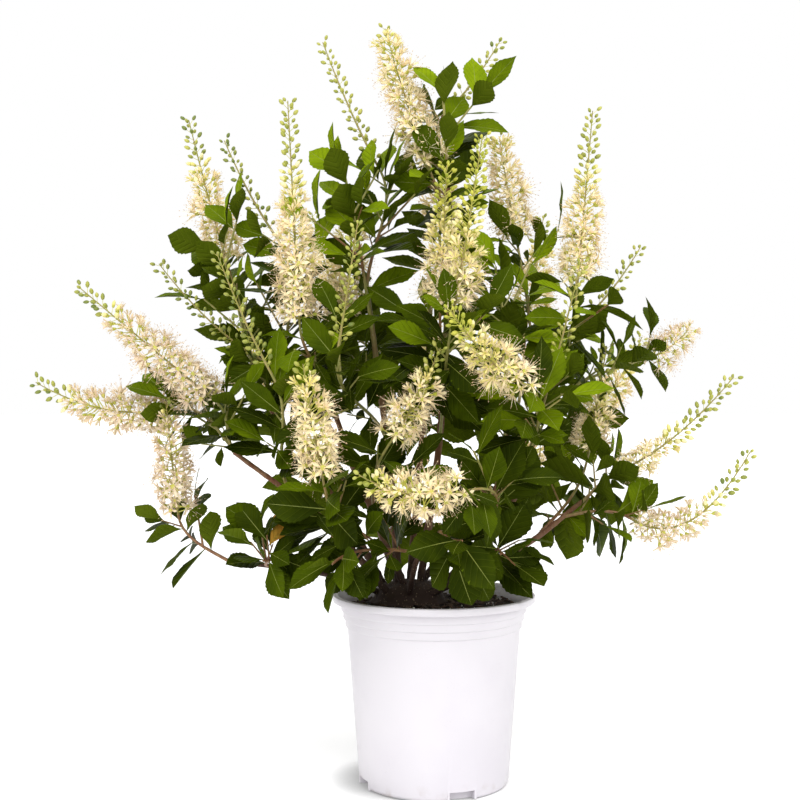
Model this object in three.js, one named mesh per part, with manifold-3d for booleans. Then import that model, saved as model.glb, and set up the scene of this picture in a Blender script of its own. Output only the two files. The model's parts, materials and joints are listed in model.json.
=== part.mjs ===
import * as THREE from 'three';
import { mergeVertices } from 'three/addons/utils/BufferGeometryUtils.js';
import Module from 'manifold-3d';

// A flowering summersweet shrub in a white nursery pot.
// Millimetres, +Z up, the ground at z = 0, the front towards -Y and the pot's axis on Z.

const wasm = await Module();
wasm.setup();

const plant = new THREE.Group();
plant.name = 'potted_summersweet';

// Space left between neighbouring pieces, and the least space between two leaves
const CLEAR = 0.35;
const LEAF_ROOM = 0.5;

// Helpers that turn three.js shapes into closed solids and back

function solidOf(geometry) {
  const bare = new THREE.BufferGeometry();
  bare.setAttribute('position', geometry.getAttribute('position').clone());
  if (geometry.index) {
    bare.setIndex(geometry.index.clone());
  }
  const merged = mergeVertices(bare, 1e-3);
  const index = merged.index.array;
  const faces = [];
  for (let i = 0; i < index.length; i += 3) {
    const [a, b, c] = [index[i], index[i + 1], index[i + 2]];
    if (a !== b && b !== c && c !== a) {
      faces.push(a, b, c);
    }
  }
  return new wasm.Manifold(new wasm.Mesh({
    numProp: 3,
    vertProperties: Float32Array.from(merged.getAttribute('position').array),
    triVerts: Uint32Array.from(faces),
  }));
}

// The one body of a joined shape: a sealed hollow is filled and loose scrap left out
function oneBody(solid) {
  const bodies = solid.decompose();
  return bodies.reduce((best, body) => (body.volume() > best.volume() ? body : best));
}

function fuse(solids) {
  return oneBody(wasm.Manifold.union(solids));
}

function addPiece(name, solid, colour, roughness) {
  const mesh = solid.getMesh();
  const geometry = new THREE.BufferGeometry();
  geometry.setAttribute('position', new THREE.BufferAttribute(mesh.vertProperties, 3));
  geometry.setIndex(new THREE.BufferAttribute(mesh.triVerts, 1));
  geometry.computeVertexNormals();
  const material = new THREE.MeshStandardMaterial({ color: colour, roughness, metalness: 0 });
  const piece = new THREE.Mesh(geometry, material);
  piece.name = name;
  plant.add(piece);
}

// A seeded number from 0 to 1, the same on every run
function seeded(seed) {
  let state = (seed * 7919 + 12345) >>> 0;
  return () => {
    state = (Math.imul(state, 1664525) + 1013904223) >>> 0;
    return state / 4294967296;
  };
}

const UP = new THREE.Vector3(0, 0, 1);
const EAST = new THREE.Vector3(1, 0, 0);
const TURN = THREE.MathUtils.degToRad(137.5);

function point(place) {
  return new THREE.Vector3(place[0], place[1], place[2]);
}

// The direction that leans from upright towards a compass bearing (0 is +X, 90 is +Y)
function heading(lean, bearing) {
  const tilt = THREE.MathUtils.degToRad(lean);
  const turn = THREE.MathUtils.degToRad(bearing);
  return new THREE.Vector3(
    Math.sin(tilt) * Math.cos(turn),
    Math.sin(tilt) * Math.sin(turn),
    Math.cos(tilt),
  );
}

// The level direction to the side of a limb, which its rings and its leaves are set by
function sideOf(curve) {
  const chord = curve.getPointAt(1).sub(curve.getPointAt(0));
  const side = new THREE.Vector3().crossVectors(UP, chord);
  return side.length() > 0.05 * chord.length() ? side.normalize() : EAST.clone();
}

// The direction square to a limb at an angle round it
function roundLimb(tangent, side, angle) {
  const over = side.clone().addScaledVector(tangent, -side.dot(tangent)).normalize();
  const across = new THREE.Vector3().crossVectors(tangent, over);
  return across.multiplyScalar(Math.sin(angle)).addScaledVector(over, Math.cos(angle));
}

function taper(thick, thin, steps) {
  return Array.from({ length: steps + 1 }, (_, i) => thick + (thin - thick) * (i / steps));
}

// The rings of a limb along a curve, one a radius, even or at the given shares. On a
// ragged ring the corners stand in by turns.
function ringsAlong(curve, radii, { shares = null, ragged = 1 } = {}) {
  const side = sideOf(curve);
  return radii.map((radius, i) => {
    const share = shares ? shares[i] : i / (radii.length - 1);
    return { at: curve.getPointAt(share), tangent: curve.getTangentAt(share), side, radius, ragged };
  });
}

// A limb: a cylinder bent to follow its rings. A grown one is larger all round.
function limb(rings, sides, grow = 0) {
  const steps = rings.length - 1;
  let { side } = rings[0];
  const overs = rings.map(({ tangent }) => {
    side = side.clone().addScaledVector(tangent, -side.dot(tangent)).normalize();
    return side;
  });
  const shape = new THREE.CylinderGeometry(1, 1, 1, sides, steps);
  const corner = shape.getAttribute('position');
  for (let i = 0; i < corner.count; i += 1) {
    const [x, y, z] = [corner.getX(i), corner.getY(i), corner.getZ(i)];
    const step = Math.round((y + 0.5) * steps);
    const turn = Math.atan2(x, z);
    const corners = Math.round((turn / (2 * Math.PI) + 1) * sides);
    const ring = rings[step];
    const inner = (step + corners) % 2 === 0 ? ring.ragged : 1;
    const radius = Math.hypot(x, z) * (ring.radius + grow) * inner;
    const ends = Number(step === steps) - Number(step === 0);
    const at = ring.at.clone();
    at.addScaledVector(ring.tangent, ends * grow);
    at.addScaledVector(roundLimb(ring.tangent, overs[step], turn), radius);
    corner.setXYZ(i, at.x, at.y, at.z);
  }
  return solidOf(shape);
}

function turned(profile, segments) {
  const points = profile.map(([r, z]) => new THREE.Vector2(r, z));
  const shape = new THREE.LatheGeometry(points, segments);
  shape.rotateX(Math.PI / 2);
  return solidOf(shape);
}

function block(length, width, height, place, bearing) {
  const shape = new THREE.BoxGeometry(length, width, height);
  shape.translate(place[0], place[1], place[2]);
  shape.rotateZ(THREE.MathUtils.degToRad(bearing));
  return solidOf(shape);
}

// The pot: a thin moulded nursery pot with a rolled lip, three shallow steps below it
// and four drain notches let in at the foot.

const POT_HEIGHT = 190;
const LIP_RADIUS = 103;
const LIP_DEEP = 7.5;
const LIP_MOUTH = 97;
const NECK_RADIUS = 94.5;
const STEP_TOPS = [173.7, 166, 158.5];
const BODY_RADIUS = 88;
const FOOT_RADIUS = 76;
const FOOT_ROUND = 4;
const WALL = 2.2;
const FLOOR = 3;
const POT_SEGMENTS = 32;
const NOTCH_WIDE = 26;
const NOTCH_TALL = 9;
const NOTCH_IN = 9;
const NOTCH_BEARINGS = [20, 110, 200, 290];

const stepIn = (NECK_RADIUS - BODY_RADIUS) / STEP_TOPS.length;
const potOutside = [
  [0, 0],
  [FOOT_RADIUS - FOOT_ROUND, 0],
  [FOOT_RADIUS - 1, 1.5],
  [FOOT_RADIUS, FOOT_ROUND],
];
STEP_TOPS.slice().reverse().forEach((top, i) => {
  const radius = BODY_RADIUS + i * stepIn;
  potOutside.push([radius, top - 1.5], [radius + stepIn, top]);
});
potOutside.push(
  [NECK_RADIUS, POT_HEIGHT - LIP_DEEP],
  [LIP_RADIUS - 1, POT_HEIGHT - LIP_DEEP],
  [LIP_RADIUS, POT_HEIGHT - LIP_DEEP + 1.5],
  [LIP_RADIUS, POT_HEIGHT - 1.5],
  [LIP_RADIUS - 1.5, POT_HEIGHT],
);
const potInside = [
  [LIP_MOUTH + 1, POT_HEIGHT],
  [LIP_MOUTH, POT_HEIGHT - 1.5],
  [NECK_RADIUS - WALL, POT_HEIGHT - LIP_DEEP - 3],
  [NECK_RADIUS - WALL, STEP_TOPS[0]],
  [BODY_RADIUS - WALL, STEP_TOPS[2] - 1.5],
  [FOOT_RADIUS - WALL, FLOOR + 2],
  [FOOT_RADIUS - WALL - 2, FLOOR],
  [0, FLOOR],
];

function pocketBlock(grow, height) {
  const deep = NOTCH_IN + WALL + grow;
  const middle = FOOT_RADIUS - 1 - deep / 2;
  return (bearing) => block(
    deep,
    NOTCH_WIDE + 2 * (WALL + grow),
    height,
    [middle, 0, height / 2],
    bearing,
  );
}

const notch = (bearing) => block(
  NOTCH_IN + 10,
  NOTCH_WIDE,
  NOTCH_TALL + 5,
  [FOOT_RADIUS + 5 - NOTCH_IN / 2, 0, (NOTCH_TALL - 5) / 2],
  bearing,
);

let pot = turned([...potOutside, ...potInside], POT_SEGMENTS);
NOTCH_BEARINGS.map(pocketBlock(0, NOTCH_TALL + WALL)).forEach((pocket) => {
  pot = pot.add(pocket);
});
NOTCH_BEARINGS.map(notch).forEach((cut) => {
  pot = pot.subtract(cut);
});
pot = oneBody(pot);

// The potting mix: fills the pot a little clear of its wall and is level where the crown
// stands, then falls a few millimetres to the wall.

const SOIL_TOP = 180;
const SOIL_EDGE = 175.5;
const SOIL_LEVEL_RADIUS = 46;

let soil = turned([
  [0, FLOOR + CLEAR],
  [FOOT_RADIUS - WALL - 2.5, FLOOR + CLEAR],
  [FOOT_RADIUS - WALL - CLEAR - 0.3, FLOOR + 2.5],
  [BODY_RADIUS - WALL - CLEAR - 0.3, STEP_TOPS[2] - 1.5],
  [NECK_RADIUS - WALL - CLEAR - 0.6, STEP_TOPS[0]],
  [NECK_RADIUS - WALL - CLEAR - 0.6, SOIL_EDGE],
  [SOIL_LEVEL_RADIUS, SOIL_TOP],
  [0, SOIL_TOP],
], POT_SEGMENTS);
NOTCH_BEARINGS.map(pocketBlock(CLEAR, NOTCH_TALL + WALL + CLEAR)).forEach((pocket) => {
  soil = soil.subtract(pocket);
});

// The crown: a low woody stool that flares into the mix and is cut flat where it stands.

const CROWN_PLACE = [-25, 8];
const CROWN_FOOT = 40;
const CROWN_BASE = SOIL_TOP + CLEAR;
const INNER = 10;
const OUTER = 26;

const crownProfile = [
  [0, CROWN_BASE],
  [CROWN_FOOT, CROWN_BASE],
  [36, CROWN_BASE + 4],
  [33, CROWN_BASE + 11],
  [24, CROWN_BASE + 18],
  [0, CROWN_BASE + 22],
];
const crown = turned(crownProfile, 12).translate([...CROWN_PLACE, 0]);
const crownRoom = turned(
  crownProfile.map(([r, z]) => [r ? r + 0.5 : 0, z + (z > CROWN_BASE ? 0.45 : -1)]), 12)
  .translate([...CROWN_PLACE, 0]);

// The stems: each rises from its place on the crown, bends through one knee and ends
// where it enters the leaves. `foot` is the ring and the bearing of its foot.

const STEM_SIDES = 6;
const STEM_STEPS = 6;
const STEMS = [
  { name: 'stem_centre', foot: [INNER, 180], knee: [-44, 5, 310], tip: [-68, -5, 500], thick: 4.6 },
  { name: 'stem_top', foot: [INNER, 5], knee: [8, 24, 360], tip: [17, 12, 590], thick: 4.6 },
  { name: 'stem_upper_left', foot: [INNER, 265], knee: [-80, -28, 320], tip: [-108, -32, 400], thick: 4.2 },
  { name: 'stem_back', foot: [INNER, 90], knee: [-10, 70, 360], tip: [0, 92, 500], thick: 4.2 },
  { name: 'stem_front', foot: [OUTER, 268], knee: [-16, -60, 235], tip: [4, -92, 262], thick: 3.6 },
  { name: 'stem_right_low', foot: [OUTER, 310], knee: [92, -34, 244], tip: [150, -8, 284], thick: 4.2 },
  { name: 'stem_right', foot: [OUTER, 350], knee: [72, -28, 275], tip: [98, -38, 345], thick: 4.6 },
  { name: 'stem_right_high', foot: [OUTER, 33], knee: [88, 40, 330], tip: [138, 38, 430], thick: 4.4 },
  { name: 'stem_back_right', foot: [OUTER, 72], knee: [58, 95, 290], tip: [98, 130, 380], thick: 4.2 },
  { name: 'stem_back_left', foot: [OUTER, 112], knee: [-72, 92, 285], tip: [-120, 125, 370], thick: 4.2 },
  { name: 'stem_left_high', foot: [OUTER, 150], knee: [-105, 30, 288], tip: [-176, 25, 387], thick: 4.4 },
  { name: 'stem_left_low', foot: [OUTER, 187], knee: [-106, -4, 209], tip: [-208, -10, 224], thick: 3.6 },
  { name: 'stem_left', foot: [OUTER, 224], knee: [-106, -22, 262], tip: [-200, -30, 335], thick: 4.2 },
];
const STEM_TIP_SHARE = 0.62;
const FOOT_DEEP = CROWN_BASE + 8;

// Every piece already in place, kept so that a later one can stay clear of it
const placed = [];

function inPlace(name, solid) {
  placed.push({ name, solid, box: solid.boundingBox() });
}

function boxesMeet(one, other) {
  return [0, 1, 2].every((k) => one.min[k] < other.max[k] + 1 && other.min[k] < one.max[k] + 1);
}

// A new solid may only meet the limb that carries it
function isClear(solid, carriers) {
  const box = solid.boundingBox();
  return placed.every((other) => carriers.includes(other.name)
    || !boxesMeet(box, other.box)
    || solid.minGap(other.solid, 1) > LEAF_ROOM);
}

inPlace('pot', pot);
inPlace('soil', soil);
inPlace('crown', crown);

const stems = new Map();
STEMS.forEach(({ name, foot, knee, tip, thick }) => {
  const out = heading(90, foot[1]).multiplyScalar(foot[0]);
  const start = new THREE.Vector3(CROWN_PLACE[0] + out.x, CROWN_PLACE[1] + out.y, FOOT_DEEP);
  const curve = new THREE.CatmullRomCurve3([start, point(knee), point(tip)], false, 'centripetal');
  const rings = ringsAlong(curve, taper(thick, thick * STEM_TIP_SHARE, STEM_STEPS));
  const solid = oneBody(limb(rings, STEM_SIDES).subtract(crownRoom));
  const room = limb(rings, STEM_SIDES, CLEAR);
  stems.set(name, { curve, solid, room });
  inPlace(name, solid);
});

// The masses of foliage: each is one leafy shoot that leaves its stem at a share of the
// stem's length, bends round to its neck and there carries a flower spike of the given
// length, lean and bearing. `bloom` is the share of the spike that is open; the rest is
// in bud. A shoot without a spike ends in leaves. `bow` and `leaf` are a spike's own bow
// and the size of a shoot's leaves, where they aren't the usual ones.

const MASSES = [
  ['spray_top', 'stem_top', 0.9, [-6, 0, 627], [148, 17.5, 170], { bloom: 0.9 }],
  ['tuft_top', 'stem_top', 1, [16, 30, 690], [89, 37, 0], { bloom: 0, leaf: 1.1 }],
  ['spray_middle_high', 'stem_top', 0.52, [5, -60, 484], [130, 5, -60], { bloom: 0.5 }],
  ['buds_middle', 'stem_top', 0.4, [16, -110, 471], [165, 10, 20], { bloom: 0 }],
  ['buds_high_left', 'stem_centre', 1, [-55, 0, 622], [150, 25, 160], { bloom: 0 }],
  ['tuft_high_left', 'stem_centre', 0.84, [-92, -32, 620], [0, 15, 180]],
  ['buds_middle_left', 'stem_centre', 0.5, [-93, -100, 434], [120, 10, -25], { bloom: 0 }],
  ['spray_behind_left', 'stem_centre', 0.62, [-93, 60, 472], [105, 10, 70], { bloom: 0.9 }],
  ['spray_upper_left', 'stem_upper_left', 1, [-132, -60, 460], [220, 3.5, 155], { bloom: 0.58 }],
  ['spray_middle', 'stem_upper_left', 0.4, [-42, -90, 349], [100, 30, -25], { bloom: 0.65 }],
  ['spray_left_far', 'stem_left', 0.92, [-264, 0, 378], [140, 79, -170], { bloom: 0.68 }],
  ['spray_left', 'stem_left', 1, [-216, -40, 385], [172, 50, -165], { bloom: 0.7, bow: 0 }],
  ['buds_left', 'stem_left', 0.68, [-156, -90, 411], [125, 25, -160], { bloom: 0 }],
  ['spray_front_left', 'stem_left', 0.3, [-106, -120, 315], [108, 14, -130], { bloom: 0.8 }],
  ['spray_left_low', 'stem_left_low', 1, [-259, -10, 271], [115, 12, -110], { bloom: 0.85, leaf: 0.8 }],
  ['leaves_left_low', 'stem_left_low', 0.75, [-168, -56, 230], [0, 92, 215], { leaf: 0.75 }],
  ['spray_left_high', 'stem_left_high', 1, [-216, 40, 530], [157, 15, 180], { bloom: 0.6 }],
  ['buds_left_high', 'stem_left_high', 0.84, [-161, -10, 554], [115, 30, 160], { bloom: 0 }],
  ['buds_left_far', 'stem_left_high', 0.93, [-168, -10, 424], [148, 47.5, -175], { bloom: 0, leaf: 0.75 }],
  ['buds_front_right', 'stem_right', 1, [110, -60, 400], [125, 15, -20], { bloom: 0 }],
  ['spray_front_right', 'stem_right', 0.75, [80, -120, 402], [110, 54, -142], { bloom: 0.62 }],
  ['spray_front', 'stem_right', 0.42, [22, -150, 304], [100, 80, -160], { bloom: 0.75 }],
  ['spray_right_high', 'stem_right_high', 1, [148, 10, 505], [180, 5, 0], { bloom: 0.55 }],
  ['spray_behind_right', 'stem_right_high', 0.7, [91, 70, 559], [115, 10, 155], { bloom: 0.9 }],
  ['buds_right_high', 'stem_right_high', 0.9, [162, 52, 474], [97, 39, 10], { bloom: 0 }],
  ['spray_right_far', 'stem_right_high', 0.8, [228, 30, 432], [50, 55, 10], { bloom: 1 }],
  ['spray_right_middle', 'stem_right_low', 0.66, [162, 30, 330], [115, 10, -25], { bloom: 0.4 }],
  ['spray_right', 'stem_right_low', 1, [188, 0, 314], [150, 50, -10], { bloom: 0.35 }],
  ['spray_right_low', 'stem_right_low', 0.86, [197, -24, 268], [135, 60, -5], { bloom: 0.5, bow: 0.6 }],
  ['leaves_rim_right', 'stem_right_low', 0.35, [62, -84, 240], [0, 125, -75]],
  ['leaves_rim_front', 'stem_front', 1, [16, -112, 244], [0, 125, -85]],
  ['leaves_rim_left', 'stem_front', 0.6, [-98, -104, 233], [0, 118, -125]],
  ['tuft_top_left', 'stem_top', 0.8, [8, -22, 700], [0, 5, 180]],
  ['tuft_middle_right', 'stem_right_high', 0.45, [62, -14, 520], [0, 12, 150]],
  ['leaves_left_high', 'stem_left_high', 0.97, [-240, -16, 550], [0, 60, 178]],
  ['spray_back_top', 'stem_back', 1, [10, 108, 570], [130, 15, 90], { bloom: 0.6 }],
  ['spray_back_middle', 'stem_back', 0.5, [0, 190, 400], [130, 30, 90], { bloom: 0.7 }],
  ['spray_back_high_left', 'stem_back', 0.7, [-100, 150, 480], [140, 25, 130], { bloom: 0.5 }],
  ['spray_back_left', 'stem_back_left', 1, [-172, 160, 400], [120, 45, 140], { bloom: 0.7 }],
  ['spray_back_low_left', 'stem_back_left', 0.6, [-120, 190, 290], [110, 60, 120], { bloom: 0.6 }],
  ['leaves_rim_back', 'stem_back_left', 0.3, [-20, 130, 240], [0, 100, 95]],
  ['spray_back_high_right', 'stem_back_right', 1, [112, 160, 480], [130, 20, 60], { bloom: 0.6 }],
  ['spray_back_right', 'stem_back_right', 0.8, [182, 150, 370], [130, 45, 40], { bloom: 0.5 }],
  ['spray_back_low_right', 'stem_back_right', 0.5, [104, 200, 290], [120, 60, 70], { bloom: 0.7 }],
].map(([name, stem, from, neck, spike, rest]) => ({ name, stem, from, neck, spike, ...rest }));

const SHOOT_THICK = 2.2;
const SHOOT_THIN = 1.5;
const SHOOT_STEPS = 3;
const SHOOT_SIDES = 3;
const SPIKE_THIN = 0.8;
const SPIKE_BOW = 0.2;
const BRUSH_OUT = 25;
const BRUSH_IN_SHARE = 0.5;
const BRUSH_PITCH = 22;
const BUD_PITCH = 14;
const BUD_OUT = 5.5;
const BUD_IN_SHARE = 0.25;
const TWIG_THICK = 1.6;
const TWIG_THIN = 1.1;
const TWIG_LONG = 52;

// A spike bows up towards upright as it lengthens
function spikeCurve(mass) {
  const [long, lean, bearing] = mass.spike;
  const neck = point(mass.neck);
  const end = neck.clone().addScaledVector(heading(lean, bearing), long || 1);
  const middle = neck.clone().lerp(end, 0.5);
  middle.z -= long * (mass.bow ?? SPIKE_BOW) * Math.sin(THREE.MathUtils.degToRad(lean));
  return new THREE.QuadraticBezierCurve3(neck, middle, end);
}

// A shoot leaves its stem between the stem's slant and its own aim, and runs on into
// its spike
function shootCurve(mass) {
  const { curve } = stems.get(mass.stem);
  const start = curve.getPointAt(mass.from);
  const neck = point(mass.neck);
  const away = neck.clone().sub(start).normalize();
  away.add(curve.getTangentAt(mass.from).multiplyScalar(0.6)).normalize();
  const arrive = spikeCurve(mass).getTangentAt(0);
  const reach = start.distanceTo(neck) * 0.36;
  return new THREE.CubicBezierCurve3(
    start,
    start.clone().addScaledVector(away, reach),
    neck.clone().addScaledVector(arrive, -reach),
    neck,
  );
}

function evenShares(from, to, steps) {
  return Array.from({ length: steps + 1 }, (_, i) => from + (to - from) * (i / steps));
}

// The open part of a spike is a ragged brush and the closed part a thin stalk with knobs
// for buds
function spikeRings(mass) {
  const [long] = mass.spike;
  const curve = spikeCurve(mass);
  const rings = [];
  let from = 0.02;
  if (mass.bloom > 0) {
    const steps = Math.max(3, Math.round((long * mass.bloom) / BRUSH_PITCH));
    const radii = taper(BRUSH_OUT, BRUSH_OUT * 0.7, steps);
    radii[0] = BRUSH_OUT * 0.5;
    radii[steps] = BUD_OUT;
    const shares = evenShares(from, mass.bloom, steps);
    rings.push(...ringsAlong(curve, radii, { shares, ragged: BRUSH_IN_SHARE }));
    from = Math.min(mass.bloom + BUD_PITCH / long, 0.99);
  }
  const steps = Math.max(1, Math.round((long * (1 - from)) / BUD_PITCH));
  const shares = evenShares(from, 1, steps);
  const radii = taper(BUD_OUT, SPIKE_THIN, steps);
  rings.push(...ringsAlong(curve, radii, { shares, ragged: BUD_IN_SHARE }));
  return rings;
}

// A leaf: an octahedron drawn out into a folded blade of eight faces, widest past its
// middle, its root sunk in the shoot

const LEAF_WIDEST = 0.6;
const LEAF_WIDE_SHARE = 0.56;
const LEAF_THICKEST = 0.35;
const LEAF_THICK_SHARE = 0.035;
const LEAF_ROOT = 0.6;

function leafSolid({ root, along, face, long }) {
  const shape = new THREE.OctahedronGeometry(1);
  const across = new THREE.Vector3().crossVectors(face, along);
  const corner = shape.getAttribute('position');
  for (let i = 0; i < corner.count; i += 1) {
    const [end, side, thick] = [corner.getX(i), corner.getY(i), corner.getZ(i)].map(Math.round);
    const share = [0, thick ? LEAF_THICKEST : LEAF_WIDEST, 1][end + 1];
    const lift = Math.abs(side) * long * 0.06 - Math.max(end, 0) * long * 0.1;
    const at = root.clone();
    at.addScaledVector(along, share * (long + LEAF_ROOT) - LEAF_ROOT);
    at.addScaledVector(across, side * long * LEAF_WIDE_SHARE * 0.5);
    at.addScaledVector(face, thick * long * LEAF_THICK_SHARE * 0.5 + lift);
    corner.setXYZ(i, at.x, at.y, at.z);
  }
  return solidOf(shape);
}

// Where one leaf sits: `open` is its angle from the shoot, `sag` how far it hangs and
// `roll` how far its face is turned. Leaves face upwards and out from the plant's middle.
const FOLIAGE_MIDDLE = [0, 40];

function leafAt(curve, share, angle, open, sag, roll, long) {
  const root = curve.getPointAt(share);
  const tangent = curve.getTangentAt(share);
  const along = tangent.clone().multiplyScalar(Math.cos(open));
  along.addScaledVector(roundLimb(tangent, sideOf(curve), angle), Math.sin(open));
  along.z -= sag;
  along.normalize();
  const away = new THREE.Vector3(root.x - FOLIAGE_MIDDLE[0], root.y - FOLIAGE_MIDDLE[1], 0).normalize();
  const face = tangent.clone().multiplyScalar(0.4).addScaledVector(UP, 0.5).addScaledVector(away, 0.7);
  face.addScaledVector(along, -face.dot(along)).normalize();
  face.applyAxisAngle(along, roll);
  return { root, along, face, long };
}

// The leaves and twigs of one mass, laid out by its own seeded numbers. Leaves stand in
// three ranks on the flats of their limb, and each may try the next rank.
const RANK = (2 * Math.PI) / SHOOT_SIDES;
const LEAF_TURNS = [0, RANK, 2 * RANK];

function rankNear(angle, stray) {
  return (Math.round(angle / RANK - 0.5) + 0.5) * RANK + stray;
}
const LEAF_LONG = 58;
const LEAF_PITCH = 15;
const LEAF_LEAST = 8;
const LEAF_MOST = 11;

function layOut(mass, index) {
  const chance = seeded(index + 1);
  const curve = shootCurve(mass);
  const length = curve.getLength();
  const count = THREE.MathUtils.clamp(Math.round(length / LEAF_PITCH) + 4, LEAF_LEAST, LEAF_MOST);
  const phase = chance() * 2 * Math.PI;
  const leafLong = LEAF_LONG * (mass.leaf ?? 1);
  const firstOpen = mass.bloom ? 44 : 26;
  const leaves = [];
  for (let i = 0; i < count; i += 1) {
    const down = i / count;
    const share = 0.98 - 0.75 * down - 0.04 * chance();
    const open = THREE.MathUtils.degToRad(firstOpen + 24 * down + 26 * chance());
    const sag = 0.35 * down * chance();
    const roll = 1.3 * (chance() - 0.5);
    const long = leafLong * (0.85 + 0.25 * down + 0.25 * chance());
    const angle = rankNear(phase + i * TURN, 0.5 * (chance() - 0.5));
    const spots = LEAF_TURNS.map((turn) => leafAt(curve, share, angle + turn, open, sag, roll, long));
    leaves.push({ spots, carrier: mass.name });
  }
  const twigs = [];
  const twigCount = length > 150 ? 2 : 1;
  for (let i = 0; i < twigCount; i += 1) {
    const from = 0.4 + 0.32 * i + 0.08 * chance();
    const angle = phase + 1.2 + i * TURN * 1.5;
    const root = curve.getPointAt(from);
    const tangent = curve.getTangentAt(from);
    const along = tangent.clone()
      .addScaledVector(roundLimb(tangent, sideOf(curve), angle), 1.1).normalize();
    const long = TWIG_LONG * (0.75 + 0.5 * chance());
    const end = root.clone().addScaledVector(along, long);
    end.z += long * 0.12;
    const twig = new THREE.LineCurve3(root, end);
    const turn = chance() * 2 * Math.PI;
    const carrier = `${mass.name} twig ${i}`;
    const tipLeaves = [0, 1, 2].map((k) => {
      const share = 0.97 - 0.14 * k;
      const open = THREE.MathUtils.degToRad(24 + 18 * k);
      const roll = 1.2 * (chance() - 0.5);
      const size = leafLong * (0.8 + 0.3 * chance());
      const rank = rankNear(turn + k * TURN, 0);
      const spots = LEAF_TURNS.map((more) => leafAt(twig, share, rank + more, open, 0.08, roll, size));
      return { spots, carrier };
    });
    twigs.push({ curve: twig, carrier, leaves: tipLeaves });
  }
  return { curve, leaves, twigs };
}

const grown = MASSES.map((mass, index) => {
  const plan = layOut(mass, index);
  const rings = ringsAlong(plan.curve, taper(SHOOT_THICK, SHOOT_THIN, SHOOT_STEPS));
  if (mass.spike[0] === 0) {
    const shoot = limb(rings, SHOOT_SIDES);
    inPlace(mass.name, shoot);
    return { mass, plan, solids: [shoot] };
  }
  const whole = limb([...rings, ...spikeRings(mass)], SHOOT_SIDES);
  const { at, tangent } = rings[rings.length - 1];
  const [spike, shoot] = whole.splitByPlane(tangent.toArray(), tangent.dot(at));
  inPlace(mass.name, shoot);
  inPlace(`${mass.name} spike`, spike);
  return { mass, plan, solids: [whole] };
});

// Twigs and leaves are tried in turn, and left out where they would touch
grown.forEach(({ mass, plan, solids }) => {
  plan.twigs.forEach((twig) => {
    const solid = limb(ringsAlong(twig.curve, [TWIG_THICK, TWIG_THIN]), SHOOT_SIDES);
    if (isClear(solid, [mass.name])) {
      solids.push(solid);
      inPlace(twig.carrier, solid);
      plan.leaves.push(...twig.leaves);
    }
  });
});

const rounds = Math.max(...grown.map(({ plan }) => plan.leaves.length));
for (let round = 0; round < rounds; round += 1) {
  grown.forEach(({ plan, solids }) => {
    const leaf = plan.leaves[round];
    if (!leaf) {
      return;
    }
    const solid = leaf.spots.map(leafSolid).find((blade) => isClear(blade, [leaf.carrier]));
    if (solid) {
      solids.push(solid);
      inPlace('leaf', solid);
    }
  });
}

// Colours as seen on the plant

const POT_WHITE = '#e9e6ee';
const MIX_BROWN = '#241c17';
const BARK_BROWN = '#6b4a33';
const STEM_GREEN = '#6f6a3a';
const LEAF_GREEN = '#3b6326';
const LEAF_FRESH = '#5f8f2c';

addPiece('pot', pot, POT_WHITE, 0.4);
addPiece('soil', soil, MIX_BROWN, 0.95);
addPiece('crown', crown, BARK_BROWN, 0.85);
stems.forEach(({ solid }, name) => {
  const high = solid.boundingBox().max[2] > 420;
  addPiece(name, solid, high ? STEM_GREEN : BARK_BROWN, 0.7);
});
grown.forEach(({ mass, solids }) => {
  const solid = oneBody(fuse(solids).subtract(stems.get(mass.stem).room));
  addPiece(mass.name, solid, mass.bloom === 0 ? LEAF_FRESH : LEAF_GREEN, 0.55);
});

export default plant;
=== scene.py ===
import json
import math

import bpy
import numpy as np
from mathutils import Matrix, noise
from mathutils.bvhtree import BVHTree

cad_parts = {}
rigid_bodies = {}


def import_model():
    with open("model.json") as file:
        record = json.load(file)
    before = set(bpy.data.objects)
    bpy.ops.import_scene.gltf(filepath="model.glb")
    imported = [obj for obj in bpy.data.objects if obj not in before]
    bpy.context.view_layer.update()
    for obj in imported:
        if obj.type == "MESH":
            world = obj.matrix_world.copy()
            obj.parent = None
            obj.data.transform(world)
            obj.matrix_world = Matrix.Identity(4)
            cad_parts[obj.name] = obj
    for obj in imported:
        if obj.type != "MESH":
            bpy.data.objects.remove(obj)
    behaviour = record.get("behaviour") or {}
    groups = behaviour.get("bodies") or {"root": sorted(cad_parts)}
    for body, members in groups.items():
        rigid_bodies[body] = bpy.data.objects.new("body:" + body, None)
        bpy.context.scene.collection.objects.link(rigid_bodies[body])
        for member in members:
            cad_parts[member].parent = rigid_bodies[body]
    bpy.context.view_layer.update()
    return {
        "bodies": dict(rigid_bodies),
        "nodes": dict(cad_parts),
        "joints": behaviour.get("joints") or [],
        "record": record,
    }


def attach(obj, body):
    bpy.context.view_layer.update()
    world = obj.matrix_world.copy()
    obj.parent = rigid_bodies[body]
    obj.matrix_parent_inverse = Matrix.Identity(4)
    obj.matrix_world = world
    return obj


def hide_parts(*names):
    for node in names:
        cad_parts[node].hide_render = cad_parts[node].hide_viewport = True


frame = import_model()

# A flowering summersweet shrub in its nursery pot. Metres, +Z up, the ground at z = 0,
# the front towards -Y. The plant's own sizes are in millimetres, as the solids' are.


# THE POT
# A thin white nursery pot, injection-moulded in one piece with a rolled lip, three shallow
# stacking steps under it and four drain notches let in round its foot.

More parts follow.
